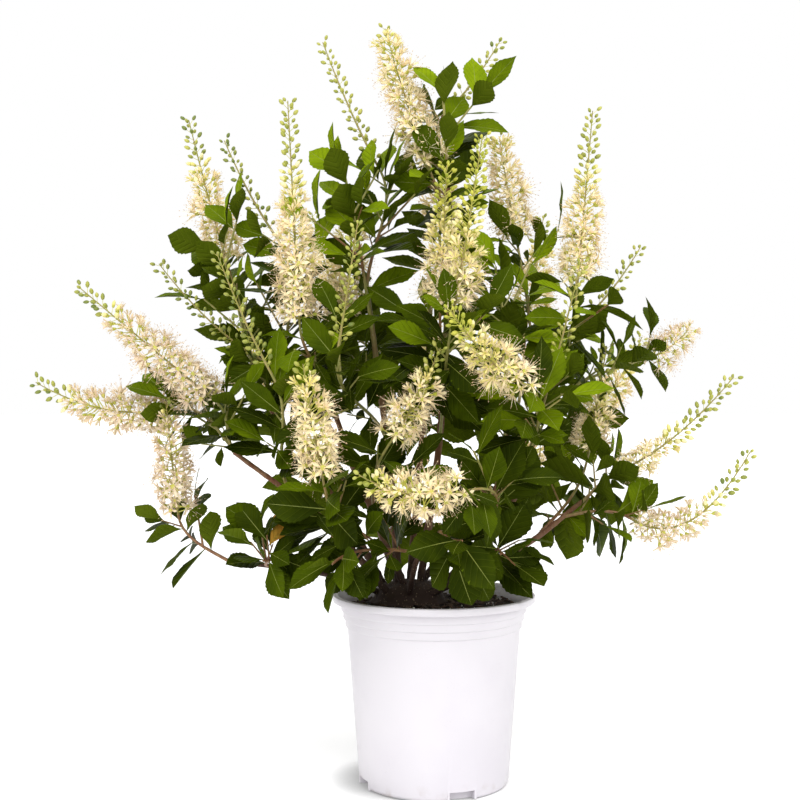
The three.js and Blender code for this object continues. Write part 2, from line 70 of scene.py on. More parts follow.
POT_SIDES = 144
POT_OUTSIDE = [
    (0.0040, 0.0), (0.0710, 0.0), (0.0735, 0.0004), (0.0752, 0.0016), (0.0760, 0.0040),
    (0.0800, 0.0560), (0.0840, 0.1070), (0.0878, 0.1560), (0.0880, 0.1572),
    (0.0896, 0.1580), (0.0902, 0.1590), (0.0901, 0.1646), (0.0903, 0.1652),
    (0.0918, 0.1660), (0.0924, 0.1670), (0.0923, 0.1724), (0.0925, 0.1730),
    (0.0939, 0.1737), (0.0945, 0.1747), (0.0945, 0.1822), (0.0950, 0.1826),
    (0.1010, 0.1825), (0.1024, 0.1830), (0.1030, 0.1842), (0.1030, 0.1882),
    (0.1027, 0.1893), (0.1018, 0.1899), (0.1005, 0.1900),
]
POT_INSIDE = [
    (0.0984, 0.1898), (0.0974, 0.1892), (0.0968, 0.1880), (0.0930, 0.1810),
    (0.0923, 0.1790), (0.0922, 0.1737), (0.0858, 0.1570), (0.0738, 0.0050),
    (0.0718, 0.0030), (0.0040, 0.0030),
]
NOTCH_BEARINGS = (20, 110, 200, 290)
NOTCH_WIDE = 0.026
NOTCH_TALL = 0.009
NOTCH_DEEP = 0.009
NOTCH_FACE = 0.081
WALL = 0.0022
FOOT_OUT = 0.075
POCKET_FOOT = 0.0006

POT_WHITE = (0.672, 0.648, 0.682)
POT_SHADE = (0.625, 0.598, 0.640)
POT_DUST = (0.30, 0.22, 0.155)


def start_clean():
    if bpy.context.mode != "OBJECT":
        bpy.ops.object.mode_set(mode="OBJECT")
    bpy.ops.object.select_all(action="DESELECT")


def pick(piece):
    start_clean()
    piece.select_set(True)
    bpy.context.view_layer.objects.active = piece


def edit(piece):
    """Opens the piece for editing, with all of it selected."""
    pick(piece)
    bpy.ops.object.mode_set(mode="EDIT")
    bpy.ops.mesh.select_all(action="SELECT")


def settle(piece):
    """Puts the piece's place, turn and size into its mesh."""
    pick(piece)
    bpy.ops.object.transform_apply()


def turned(name, profile, sides):
    """A small disc drawn out ring by ring through the profile, as a turned thing is."""
    start_clean()
    radius, height = profile[0]
    bpy.ops.mesh.primitive_circle_add(
        vertices=sides, radius=radius, fill_type="NGON", location=(0, 0, height))
    piece = bpy.context.object
    piece.name = name
    settle(piece)
    edit(piece)
    for next_radius, next_height in profile[1:]:
        bpy.ops.mesh.extrude_region_move(
            TRANSFORM_OT_translate={"value": (0, 0, next_height - height)})
        ratio = next_radius / radius
        bpy.ops.transform.resize(
            value=(ratio, ratio, 1), center_override=(0, 0, next_height))
        radius, height = next_radius, next_height
    bpy.ops.mesh.select_all(action="SELECT")
    bpy.ops.mesh.normals_make_consistent(inside=False)
    start_clean()
    return piece


def blocks_at_foot(size, middle):
    """One block at each notch, joined."""
    made = []
    for bearing in NOTCH_BEARINGS:
        turn = math.radians(bearing)
        start_clean()
        bpy.ops.mesh.primitive_cube_add(size=1, rotation=(0, 0, turn), location=(
            middle[0] * math.cos(turn), middle[0] * math.sin(turn), middle[1]))
        made.append(bpy.context.object)
        made[-1].scale = size
    pick(made[0])
    for block in made:
        block.select_set(True)
    bpy.ops.object.join()
    settle(made[0])
    return made[0]


def modify(piece, kind, **settings):
    """Gives the piece a modifier and makes it part of the mesh."""
    pick(piece)
    bpy.ops.object.modifier_add(type=kind)
    modifier = piece.modifiers[-1]
    for label, value in settings.items():
        setattr(modifier, label, value)
    bpy.ops.object.modifier_apply(modifier=modifier.name)


def combine(piece, tool, operation):
    modify(piece, "BOOLEAN", operation=operation, solver="EXACT", object=tool)
    bpy.data.objects.remove(tool)


def dress(piece, crease, *materials):
    """Shades the piece smooth but for its creases, and gives it its materials."""
    pick(piece)
    bpy.ops.object.shade_smooth_by_angle(angle=math.radians(crease))
    for material in materials:
        piece.data.materials.append(material)


def feed(tree, made, inputs):
    """Links or sets the node's inputs."""
    for place, value in dict(inputs).items():
        if isinstance(value, bpy.types.NodeSocket):
            tree.links.new(value, made.inputs[place])
        else:
            made.inputs[place].default_value = value


def node(tree, kind, inputs=(), **settings):
    made = tree.nodes.new("ShaderNode" + kind)
    for label, value in settings.items():
        setattr(made, label, value)
    feed(tree, made, inputs)
    return made.outputs


def use(tree, group, **values):
    return node(tree, "Group", values, node_tree=group)


def math_node(tree, operation, *values):
    return node(tree, "Math", enumerate(values), operation=operation)[0]


def ramp(tree, value, low, high):
    """0 below low and 1 above high, smooth between; either way round."""
    return node(
        tree, "MapRange", {"Value": value, "From Min": low, "From Max": high},
        interpolation_type="SMOOTHSTEP")["Result"]


def between(tree, share, first, second):
    """A number that runs from first to second with a mask."""
    return math_node(tree, "MULTIPLY_ADD", share, second - first, first)


def blend(tree, share, *colours):
    """Two colours mixed by a mask."""
    first, second = (
        (*colour, 1) if isinstance(colour, tuple) else colour for colour in colours)
    return node(tree, "Mix", {0: share, 6: first, 7: second}, data_type="RGBA")[2]


def bumped(tree, height, distance, strength=1.0):
    return node(
        tree, "Bump", {"Strength": strength, "Distance": distance, "Height": height})[0]


def stretched_place(tree, stretch):
    """The surface's own place, drawn out by the stretch."""
    place = node(tree, "TexCoord")["Object"]
    return node(tree, "VectorMath", {0: place, 1: stretch}, operation="MULTIPLY")[0]


def effect(name, inputs, *outputs):
    """A new shader group: its tree, what goes into it and the node for what comes out."""
    group = bpy.data.node_groups.new(name, "ShaderNodeTree")
    for label, value in inputs.items():
        kind = "NodeSocketVector" if isinstance(value, tuple) else "NodeSocketFloat"
        group.interface.new_socket(
            label, in_out="INPUT", socket_type=kind).default_value = value
    for label in outputs:
        group.interface.new_socket(label, in_out="OUTPUT", socket_type="NodeSocketFloat")
    return group, group.nodes.new("NodeGroupInput").outputs, group.nodes.new("NodeGroupOutput")


# Cloudy patches, for mottled colour, fine pitting and bark
mottle, ins, outs = effect(
    "mottle", {"Scale": 20.0, "Low": 0.35, "High": 0.65, "Stretch": (1, 1, 1)},
    "Mask", "Height")
cloud = node(mottle, "TexNoise", {
    "Vector": stretched_place(mottle, ins["Stretch"]), "Scale": ins["Scale"],
    "Detail": 5})["Fac"]
feed(mottle, outs, {"Mask": ramp(mottle, cloud, ins["Low"], ins["High"]), "Height": cloud})

# Small round spots, for specks of dirt and the pores of bark
spots, ins, outs = effect(
    "spots", {"Scale": 200.0, "Size": 0.2, "Stretch": (1, 1, 1)}, "Mask")
cells = node(spots, "TexVoronoi", {
    "Vector": stretched_place(spots, ins["Stretch"]), "Scale": ins["Scale"]})["Distance"]
edge = ramp(spots, cells, ins["Size"], math_node(spots, "MULTIPLY", ins["Size"], 1.6))
feed(spots, outs, {"Mask": math_node(spots, "SUBTRACT", 1.0, edge)})

# A zone from one height to another, its edge wandering with a cloud
zone, ins, outs = effect("zone", {"From": 0.0, "To": 1.0, "Wander": 0.0}, "Mask")
place = node(zone, "TexCoord")["Object"]
cloud = node(zone, "TexNoise", {"Vector": place, "Scale": 60})["Fac"]
stray = math_node(zone, "SUBTRACT", cloud, 0.5)
level = node(zone, "SeparateXYZ", {0: place})["Z"]
height = math_node(zone, "MULTIPLY_ADD", stray, ins["Wander"], level)
feed(zone, outs, {"Mask": ramp(zone, height, ins["From"], ins["To"])})


def finish(name):
    """A new material, its tree and its shader."""
    made = bpy.data.materials.new(name)
    made.use_nodes = True
    return made, made.node_tree, made.node_tree.nodes["Principled BSDF"]


pot_plastic, tree, shader = finish("pot_plastic")
clouding = use(tree, mottle, Scale=9.0, High=0.7)["Mask"]
grime = use(tree, mottle, Scale=55.0, Low=0.5, High=0.68)["Mask"]
specks = use(tree, spots, Scale=330.0, Size=0.13)["Mask"]
foot = use(tree, zone, From=0.018, To=0.001, Wander=0.02)["Mask"]
mouth = use(tree, zone, From=0.1893, To=0.1903, Wander=0.0012)["Mask"]
pitting = use(tree, mottle, Scale=900.0)["Height"]
dirty = math_node(tree, "MULTIPLY", math_node(tree, "MULTIPLY", foot, grime), 0.3)
dotted = math_node(tree, "MULTIPLY", specks, grime)
dirty = math_node(tree, "MULTIPLY_ADD", dotted, 0.10, dirty)
dirty = math_node(tree, "MULTIPLY_ADD", mouth, 0.12, dirty)
white = blend(tree, clouding, POT_WHITE, POT_SHADE)
feed(tree, shader, {
    "Base Color": blend(tree, dirty, white, POT_DUST),
    "Roughness": between(tree, grime, 0.34, 0.46),
    "Normal": bumped(tree, pitting, 0.00012, 0.5)})

pot = turned("nursery_pot", POT_OUTSIDE + POT_INSIDE, POT_SIDES)
pocket_deep = NOTCH_DEEP + WALL
combine(pot, blocks_at_foot(
    (pocket_deep, NOTCH_WIDE + 2 * WALL, NOTCH_TALL + WALL - POCKET_FOOT),
    (FOOT_OUT - pocket_deep / 2, (NOTCH_TALL + WALL + POCKET_FOOT) / 2)), "UNION")
combine(pot, blocks_at_foot(
    (NOTCH_DEEP + 0.010, NOTCH_WIDE, NOTCH_TALL + 0.005),
    (NOTCH_FACE - NOTCH_DEEP / 2, (NOTCH_TALL - 0.005) / 2)), "DIFFERENCE")
dress(pot, 38, pot_plastic)
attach(pot, "root")
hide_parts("pot")


# THE POTTING MIX
# Damp bark and peat, firmed by hand to a few millimetres under the lip, with chips of bark
# and grains of white perlite lying loose on top.

MIX_SIDES = 72
MIX_BODY = [
    (0.004, 0.0036), (0.0710, 0.0036), (0.0731, 0.0056), (0.0851, 0.1570),
    (0.0913, 0.1737), (0.0913, 0.1755),
]
MIX_TOP = [(0.0860, 0.1760), (0.0790, 0.1768), (0.0710, 0.1776), (0.0620, 0.1784),
           (0.0530, 0.1792), (0.0440, 0.1798), (0.0330, 0.1800), (0.0200, 0.1800),
           (0.0050, 0.1800)]
MIX_DARK = (0.008, 0.005, 0.003)
MIX_LIGHT = (0.034, 0.021, 0.013)
MIX_RIM = 0.1756
CRUMB_SIZE = 0.0008
CRUMB_STRAY = 0.001
MIX_GAP = 0.0004
STREWN_OUT = 0.089
CHIP_COUNT = 620
GRAIN_COUNT = 150

potting_mix, tree, shader = finish("potting_mix")
damp_and_base_shade = use(tree, mottle, Scale=160.0, Low=0.4, High=0.62)["Mask"]
crumbs = use(tree, mottle, Scale=520.0)["Height"]
feed(tree, shader, {
    "Base Color": blend(tree, damp_and_base_shade, MIX_DARK, MIX_LIGHT),
    "Roughness": between(tree, damp_and_base_shade, 0.85, 0.98),
    "Normal": bumped(tree, crumbs, 0.0015)})

perlite, tree, shader = finish("perlite")
pores = use(tree, spots, Scale=1400.0, Size=0.25)["Mask"]
feed(tree, shader, {
    "Base Color": blend(tree, pores, (0.62, 0.60, 0.55), (0.30, 0.27, 0.23)),
    "Roughness": 0.8, "Normal": bumped(tree, pores, 0.0002)})


def two_tone(name, first, second, roughness, depth, grain=0, **patches):
    """A material in patches of two colours, raised by the patches or by a finer grain."""
    made, tree, shader = finish(name)
    marks = use(tree, mottle, **patches)
    raised = use(tree, mottle, Scale=grain) if grain else marks
    feed(tree, shader, {
        "Base Color": blend(tree, marks["Mask"], first, second), "Roughness": roughness,
        "Normal": bumped(tree, raised["Height"], depth)})
    return made


bark_chip = two_tone(
    "bark_chip", (0.022, 0.012, 0.008), (0.095, 0.055, 0.032), 0.85, 0.0006,
    Scale=260.0, Stretch=(1, 0.4, 1))

mix = turned("potting_mix", MIX_BODY + MIX_TOP, MIX_SIDES)
room_deep, room_tall = pocket_deep + 0.0064, NOTCH_TALL + WALL + MIX_GAP
combine(mix, blocks_at_foot(
    (room_deep, NOTCH_WIDE + 2 * WALL + 2 * MIX_GAP, room_tall),
    (NOTCH_FACE - room_deep / 2, room_tall / 2)), "DIFFERENCE")
pick(mix)
for corner_or_line in (*mix.data.vertices, *mix.data.edges):
    corner_or_line.select = False
for face in mix.data.polygons:
    face.select = face.center.z > MIX_RIM
bpy.ops.object.mode_set(mode="EDIT")
bpy.ops.mesh.select_mode(type="FACE")
bpy.ops.mesh.subdivide(number_cuts=2)
start_clean()
noise.seed_set(5)
for corner in mix.data.vertices:
    if corner.select:
        corner.co += noise.noise_vector(corner.co / CRUMB_SIZE) * CRUMB_STRAY
dress(mix, 50, potting_mix)
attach(mix, "root")
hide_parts("soil")

MM = 0.001


def seeded(seed):
    """Numbers from 0 to 1, the same on every run and the same as the solids' own."""
    state = [(seed * 7919 + 12345) % 2 ** 32]

    def chance():
        state[0] = (state[0] * 1664525 + 1013904223) % 2 ** 32
        return state[0] / 2 ** 32
    return chance


def unit(way):
    return way / np.linalg.norm(way)


def small_thing(points, faces, slots=0, marks=0.0):
    """Its corners, its triangles, their materials and the corners' marks, as arrays."""
    points, faces = np.array(points, float), np.array(faces)
    return (points, faces, np.broadcast_to(slots, len(faces)),
            np.broadcast_to(marks, (len(points), 2)))


class Heap:
    """Many small things of one kind, gathered into one mesh. Millimetres."""

    def __init__(self):
        self.things, self.count = [], 0

    def add(self, *thing):
        points, faces, slots, marks = small_thing(*thing)
        self.things.append((points, faces + self.count, slots, marks))
        self.count += len(points)

    def add_copies(self, thing, copies):
        """The thing at each copy's frame, a place and three directions, in its size."""
        if not copies:
            return
        points, faces, slots, marks = thing
        frames = np.array([frame for frame, _ in copies], float)
        sizes = np.array([size for _, size in copies])[:, None, None]
        spread = frames[:, None, 0] + sizes * np.einsum("pk,nkx->npx", points, frames[:, 1:])
        shifts = len(points) * np.arange(len(copies))[:, None, None]
        self.add(spread.reshape(-1, 3), (faces[None] + shifts).reshape(-1, 3),
                 np.tile(slots, len(copies)), np.tile(marks, (len(copies), 1)))

    def piece(self, name, materials, crease, slot, *nodes):
        points, faces, slots, marks = map(np.concatenate, zip(*self.things))
        mesh = bpy.data.meshes.new(name)
        mesh.vertices.add(len(points))
        mesh.vertices.foreach_set("co", (points * MM).ravel())
        mesh.loops.add(faces.size)
        mesh.loops.foreach_set("vertex_index", faces.ravel())
        mesh.polygons.add(len(faces))
        mesh.polygons.foreach_set("loop_start", np.arange(0, faces.size, 3))
        for material in materials:
            mesh.materials.append(material)
        mesh.polygons.foreach_set("material_index", slots)
        layer = mesh.uv_layers.new(name="blade")
        layer.data.foreach_set("uv", marks[faces.ravel()].ravel())
        mesh.update(calc_edges=True)
        mesh.validate()
        made = bpy.data.objects.new(name, mesh)
        bpy.context.scene.collection.objects.link(made)
        dress(made, crease)
        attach(made, "root")
        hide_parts(*nodes)


def arrays_of(piece):
    return (np.array([tuple(corner.co) for corner in piece.data.vertices]),
            np.array([tuple(face.vertices) for face in piece.data.polygons]))


def roughened(stray, seed):
    """The thing being modelled, a little crushed, as arrays; it is then taken away."""
    bpy.ops.transform.vertex_random(offset=stray, seed=seed)
    bpy.ops.mesh.quads_convert_to_tris()
    start_clean()
    piece = bpy.context.object
    made = small_thing(*arrays_of(piece))
    bpy.data.objects.remove(piece)
    return made


def tumbled(chance, flat):
    """Three square directions turned at random, the last near upright if flat."""
    turn = chance() * 2 * math.pi
    lean = (chance() - 0.5) * (0.9 if flat else 3.0)
    first = unit(np.array([math.cos(turn), math.sin(turn), lean]))
    second = unit(np.cross([0.2 * (chance() - 0.5), 0.2 * (chance() - 0.5), 1], first))
    return first, second, np.cross(first, second)


def scattered(count, seed, flat, small, large):
    """Copies of a loose thing strewn over the mix."""
    chance = seeded(seed)
    reaches, heights = zip(*sorted(MIX_TOP + MIX_BODY[-1:]))
    copies = []
    for _ in range(count):
        reach = STREWN_OUT * math.sqrt(chance())
        turn = chance() * 2 * math.pi
        size = small + (large - small) * chance() ** 2
        lift = np.interp(reach, reaches, heights) / MM + 0.25 * size
        place = (reach / MM * math.cos(turn), reach / MM * math.sin(turn), lift)
        copies.append(((place, *tumbled(chance, flat)), size))
    return copies


start_clean()
bpy.ops.mesh.primitive_cube_add(size=1)
bpy.context.object.scale = (1.0, 0.42, 0.2)
settle(bpy.context.object)
edit(bpy.context.object)
bpy.ops.mesh.subdivide()
chips = Heap()
chips.add_copies(roughened(0.09, 2), scattered(CHIP_COUNT, 71, True, 3, 10))
chips.piece("bark_chips", [bark_chip], 35, "potting_mix", "soil")

bpy.ops.mesh.primitive_ico_sphere_add(subdivisions=1, radius=0.5)
edit(bpy.context.object)
grains = Heap()
grains.add_copies(roughened(0.12, 4), scattered(GRAIN_COUNT, 72, False, 1.4, 3.2))
grains.piece("perlite_grains", [perlite], 60, "potting_mix", "soil")


# THE CROWN
# The low woody stool that all the stems rise from, flared where it meets the mix. It is
# brown corky wood, grown thick at the nodes.

CROWN_PLACE = (-25, 8)
CROWN_BASE = 180.35
CROWN_PROFILE = [
    (0.006, 0.1802), (0.0395, 0.1802), (0.0400, 0.1812), (0.0378, 0.1830),
    (0.0358, 0.1855), (0.0345, 0.1885), (0.0330, 0.1915), (0.0300, 0.1948),
    (0.0262, 0.1975), (0.0220, 0.1995), (0.0160, 0.2010), (0.0080, 0.2020),
]
BARK_RED = (0.165, 0.060, 0.024)
BARK_GREY = (0.240, 0.128, 0.062)
BARK_GREEN = (0.20, 0.185, 0.05)
# The bark's painted shade, low down by the mix
BARK_IN_SHADE = (0.034, 0.015, 0.009)
PORE_BUFF = (0.34, 0.25, 0.16)

# Thin reddish-brown bark with pale pores, turning green higher up, and darker by the mix with
# painted shade
bark, tree, shader = finish("bark")
streaks = use(tree, mottle, Scale=210.0, Low=0.34, High=0.66, Stretch=(1, 1, 0.12))
pores = use(tree, spots, Scale=330.0, Size=0.14, Stretch=(1, 1, 0.55))["Mask"]
young = use(tree, zone, From=0.36, To=0.50, Wander=0.12)["Mask"]
# Painted shade: the bark darkens down to the mix, where the crown and the stems' feet sit in
# shade under the leaves
damp_and_base_shade = use(tree, zone, From=0.285, To=0.196, Wander=0.03)["Mask"]
skin = blend(tree, streaks["Mask"], BARK_RED, BARK_GREY)
skin = blend(tree, damp_and_base_shade, blend(tree, young, skin, BARK_GREEN), BARK_IN_SHADE)
height = math_node(tree, "MULTIPLY_ADD", pores, 0.4, streaks["Height"])
feed(tree, shader, {
    "Base Color": blend(tree, math_node(tree, "MULTIPLY", pores, 0.55), skin, PORE_BUFF),
    "Roughness": between(tree, young, 0.78, 0.5),
    "Normal": bumped(tree, height, 0.0009)})


def relief(piece, size, strength):
    """Raises an uneven skin on the piece."""
    cloud = bpy.data.textures.new(piece.name + "_relief", "CLOUDS")
    cloud.noise_scale = size
    modify(piece, "DISPLACE", texture=cloud, strength=strength)


crown = turned("crown", CROWN_PROFILE, 48)
edit(crown)
bpy.ops.mesh.subdivide()
bpy.ops.transform.translate(value=(CROWN_PLACE[0] * MM, CROWN_PLACE[1] * MM, 0))
relief(crown, 0.011, 0.0042)
relief(crown, 0.003, 0.0014)
dress(crown, 60, bark)
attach(crown, "root")
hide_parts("crown")


# THE STEMS
# Thirteen woody stems spring from the crown, bend once through a knee and end among the
# leaves. Each is one tapering limb with a slight swelling at every old leaf scar.

STEM_TIP_SHARE = 0.62
STEM_FOOT = CROWN_BASE + 8
INNER, OUTER = 10, 26
STEMS = {
    "stem_centre": ((INNER, 180), (-44, 5, 310), (-68, -5, 500), 4.6),
    "stem_top": ((INNER, 5), (8, 24, 360), (17, 12, 590), 4.6),
    "stem_upper_left": ((INNER, 265), (-80, -28, 320), (-108, -32, 400), 4.2),
    "stem_back": ((INNER, 90), (-10, 70, 360), (0, 92, 500), 4.2),
    "stem_front": ((OUTER, 268), (-16, -60, 235), (4, -92, 262), 3.6),
    "stem_right_low": ((OUTER, 310), (92, -34, 244), (150, -8, 284), 4.2),
    "stem_right": ((OUTER, 350), (72, -28, 275), (98, -38, 345), 4.6),
    "stem_right_high": ((OUTER, 33), (88, 40, 330), (138, 38, 430), 4.4),
    "stem_back_right": ((OUTER, 72), (58, 95, 290), (98, 130, 380), 4.2),
    "stem_back_left": ((OUTER, 112), (-72, 92, 285), (-120, 125, 370), 4.2),
    "stem_left_high": ((OUTER, 150), (-105, 30, 288), (-176, 25, 387), 4.4),
    "stem_left_low": ((OUTER, 187), (-106, -4, 209), (-208, -10, 224), 3.6),
    "stem_left": ((OUTER, 224), (-106, -22, 262), (-200, -30, 335), 4.2),
}
RING_PITCH, RING_SWELL = 22, 0.16
UP = np.array([0.0, 0.0, 1.0])
EAST = np.array([1.0, 0.0, 0.0])


def heading(lean, bearing):
    """The way that leans from upright towards a bearing; 0 is +X and 90 is +Y."""
    tilt, turn = math.radians(lean), math.radians(bearing)
    return np.array([
        math.sin(tilt) * math.cos(turn), math.sin(tilt) * math.sin(turn), math.cos(tilt)])


class Path:
    """A curve whose points and slopes are found by their share of its length."""

    def __init__(self, at):
        self.at = at
        self.turns = np.linspace(0, 1, 201)
        steps = np.linalg.norm(np.diff(at(self.turns), axis=0), axis=1)
        self.reach = np.concatenate([[0], np.cumsum(steps)])
        self.length = self.reach[-1]

    def turn(self, share):
        return float(np.interp(share * self.length, self.reach, self.turns))

    def point(self, share):
        return self.at(np.array([self.turn(share)]))[0]

    def slope(self, share):
        turn = self.turn(share)
        ends = self.at(np.clip([turn - 1e-4, turn + 1e-4], 0, 1))
        return unit(ends[1] - ends[0])

    def side(self):
        """The level way across the curve, which its leaves are set by."""
        chord = self.point(1) - self.point(0)
        side = np.cross(UP, chord)
        if np.linalg.norm(side) > 0.05 * np.linalg.norm(chord):
            return unit(side)
        return EAST


def through_knee(foot, knee, tip):
    """The smooth curve through three points, spaced by the roots of their distances."""
    points = [2 * foot - knee, foot, knee, tip, 2 * tip - knee]

    def piece(turns, k):
        p0, p1, p2, p3 = points[k:k + 4]
        d0, d1, d2 = (
            math.sqrt(np.linalg.norm(b - a)) for a, b in ((p0, p1), (p1, p2), (p2, p3)))
        first = ((p1 - p0) / d0 - (p2 - p0) / (d0 + d1) + (p2 - p1) / d1) * d1
        last = ((p2 - p1) / d1 - (p3 - p1) / (d1 + d2) + (p3 - p2) / d2) * d1
        t = turns[:, None]
        bend = -3 * p1 + 3 * p2 - 2 * first - last
        curl = 2 * p1 - 2 * p2 + first + last
        return p1 + first * t + bend * t ** 2 + curl * t ** 3

    def at(turns):
        turns = np.asarray(turns, float) * 2
        return np.where(turns[:, None] < 1, piece(turns, 0), piece(turns - 1, 1))
    return Path(at)


def woody_limb(name, path, thick, thin):
    """A round limb swept along its path, swollen at the nodes, then given its bark."""
    start_clean()
    bpy.ops.curve.primitive_nurbs_path_add()
    line = bpy.context.object
    line.name = name
    drawn = line.data
    drawn.splines.clear()
    steps = max(12, int(path.length / 3.5))
    spline = drawn.splines.new("POLY")
    spline.points.add(steps)
    for i, corner in enumerate(spline.points):
        share = i / steps
        wave = math.cos(share * path.length / RING_PITCH * 2 * math.pi)
        swell = 1 + RING_SWELL * max(0.0, wave) ** 6
        corner.co = (*(path.point(share) * MM), 1)
        corner.radius = (thick + (thin - thick) * share) * swell
    drawn.bevel_depth = MM
    drawn.bevel_resolution = 3
    drawn.use_fill_caps = True
    pick(line)
    bpy.ops.object.convert(target="MESH")
    made = bpy.context.object
    edit(made)
    bpy.ops.mesh.remove_doubles(threshold=0.00001)
    bpy.ops.mesh.normals_make_consistent(inside=False)
    relief(made, 0.0035, 0.0009)
    return made


stems = {}
for name, (foot, knee, tip, thick) in STEMS.items():
    out = heading(90, foot[1]) * foot[0]
    start = np.array([CROWN_PLACE[0] + out[0], CROWN_PLACE[1] + out[1], STEM_FOOT])
    stems[name] = through_knee(start, np.array(knee, float), np.array(tip, float))
    made = woody_limb(name + "_bark", stems[name], thick * 0.92, thick * STEM_TIP_SHARE * 0.85)
    dress(made, 50, bark)
    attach(made, "root")
    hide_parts(name)


# THE SHOOTS, TWIGS AND FLOWER STALKS
# Each leafy shoot leaves its stem, bends round to its neck and there carries a flower
# spike. Its twigs and leaves are dealt out by its own seeded numbers, in three ranks.

MASSES = [
    # name, stem, share of the stem it leaves at, neck, spike's length, lean and bearing,
    # share of the spike in flower
    ("spray_top", "stem_top", 0.9, (-6, 0, 627), (148, 17.5, 170), 0.9),
    ("tuft_top", "stem_top", 1, (16, 30, 690), (89, 37, 0), 0),
    ("spray_middle_high", "stem_top", 0.52, (5, -60, 484), (130, 5, -60), 0.5),
    ("buds_middle", "stem_top", 0.4, (16, -110, 471), (165, 10, 20), 0),
    ("buds_high_left", "stem_centre", 1, (-55, 0, 622), (150, 25, 160), 0),
    ("tuft_high_left", "stem_centre", 0.84, (-92, -32, 620), (0, 15, 180), 0),
    ("buds_middle_left", "stem_centre", 0.5, (-93, -100, 434), (120, 10, -25), 0),
    ("spray_behind_left", "stem_centre", 0.62, (-93, 60, 472), (105, 10, 70), 0.9),
    ("spray_upper_left", "stem_upper_left", 1, (-132, -60, 460), (220, 3.5, 155), 0.58),
    ("spray_middle", "stem_upper_left", 0.4, (-42, -90, 349), (100, 30, -25), 0.65),
    ("spray_left_far", "stem_left", 0.92, (-264, 0, 378), (140, 79, -170), 0.68),
    ("spray_left", "stem_left", 1, (-216, -40, 385), (172, 50, -165), 0.7),
    ("buds_left", "stem_left", 0.68, (-156, -90, 411), (125, 25, -160), 0),
    ("spray_front_left", "stem_left", 0.3, (-106, -120, 315), (108, 14, -130), 0.8),
    ("spray_left_low", "stem_left_low", 1, (-259, -10, 271), (115, 12, -110), 0.85),
    ("leaves_left_low", "stem_left_low", 0.75, (-168, -56, 230), (0, 92, 215), 0),
    ("spray_left_high", "stem_left_high", 1, (-216, 40, 530), (157, 15, 180), 0.6),
    ("buds_left_high", "stem_left_high", 0.84, (-161, -10, 554), (115, 30, 160), 0),
    ("buds_left_far", "stem_left_high", 0.93, (-168, -10, 424), (148, 47.5, -175), 0),
    ("buds_front_right", "stem_right", 1, (110, -60, 400), (125, 15, -20), 0),
    ("spray_front_right", "stem_right", 0.75, (80, -120, 402), (110, 54, -142), 0.62),
    ("spray_front", "stem_right", 0.42, (22, -150, 304), (100, 80, -160), 0.75),
    ("spray_right_high", "stem_right_high", 1, (148, 10, 505), (180, 5, 0), 0.55),
    ("spray_behind_right", "stem_right_high", 0.7, (91, 70, 559), (115, 10, 155), 0.9),
    ("buds_right_high", "stem_right_high", 0.9, (162, 52, 474), (97, 39, 10), 0),
    ("spray_right_far", "stem_right_high", 0.8, (228, 30, 432), (50, 55, 10), 1),
    ("spray_right_middle", "stem_right_low", 0.66, (162, 30, 330), (115, 10, -25), 0.4),
    ("spray_right", "stem_right_low", 1, (188, 0, 314), (150, 50, -10), 0.35),
    ("spray_right_low", "stem_right_low", 0.86, (197, -24, 268), (135, 60, -5), 0.5),
    ("leaves_rim_right", "stem_right_low", 0.35, (62, -84, 240), (0, 125, -75), 0),
    ("leaves_rim_front", "stem_front", 1, (16, -112, 244), (0, 125, -85), 0),
    ("leaves_rim_left", "stem_front", 0.6, (-98, -104, 233), (0, 118, -125), 0),
    ("tuft_top_left", "stem_top", 0.8, (8, -22, 700), (0, 5, 180), 0),
    ("tuft_middle_right", "stem_right_high", 0.45, (62, -14, 520), (0, 12, 150), 0),
    ("leaves_left_high", "stem_left_high", 0.97, (-240, -16, 550), (0, 60, 178), 0),
    ("spray_back_top", "stem_back", 1, (10, 108, 570), (130, 15, 90), 0.6),
    ("spray_back_middle", "stem_back", 0.5, (0, 190, 400), (130, 30, 90), 0.7),
    ("spray_back_high_left", "stem_back", 0.7, (-100, 150, 480), (140, 25, 130), 0.5),
    ("spray_back_left", "stem_back_left", 1, (-172, 160, 400), (120, 45, 140), 0.7),
    ("spray_back_low_left", "stem_back_left", 0.6, (-120, 190, 290), (110, 60, 120), 0.6),
    ("leaves_rim_back", "stem_back_left", 0.3, (-20, 130, 240), (0, 100, 95), 0),
    ("spray_back_high_right", "stem_back_right", 1, (112, 160, 480), (130, 20, 60), 0.6),
    ("spray_back_right", "stem_back_right", 0.8, (182, 150, 370), (130, 45, 40), 0.5),
    ("spray_back_low_right", "stem_back_right", 0.5, (104, 200, 290), (120, 60, 70), 0.7),
]
MASS_NAMES = [mass[0] for mass in MASSES]
LEAF_SHARES = {
    "leaves_left_low": 0.75, "buds_left_far": 0.75, "spray_left_low": 0.8, "tuft_top": 1.1}
BOWS = {"spray_right_low": 0.6, "spray_left": 0.0}
AXIS = np.array([0, 40, 0])
TURN = math.radians(137.5)
RANK = 2 * math.pi / 3
SHOOT_THICK, SHOOT_THIN = 2.2, 1.5
SPIKE_THIN = 0.8
SPIKE_BOW = 0.2
BRUSH_OUT, BRUSH_PITCH = 25, 22
BUD_OUT, BUD_PITCH = 5.5, 14
TWIG_THICK, TWIG_THIN, TWIG_LONG = 1.6, 1.1, 52
LEAF_LONG, LEAF_PITCH, LEAF_LEAST, LEAF_MOST = 58, 15, 8, 11
LEAF_ROOT = 0.6
LEAF_ROOM = 0.5
BLADE_HALF, BLADE_THICK, BLADE_DROOP, BLADE_CUP = 0.28, 0.0175, 0.1, 0.06
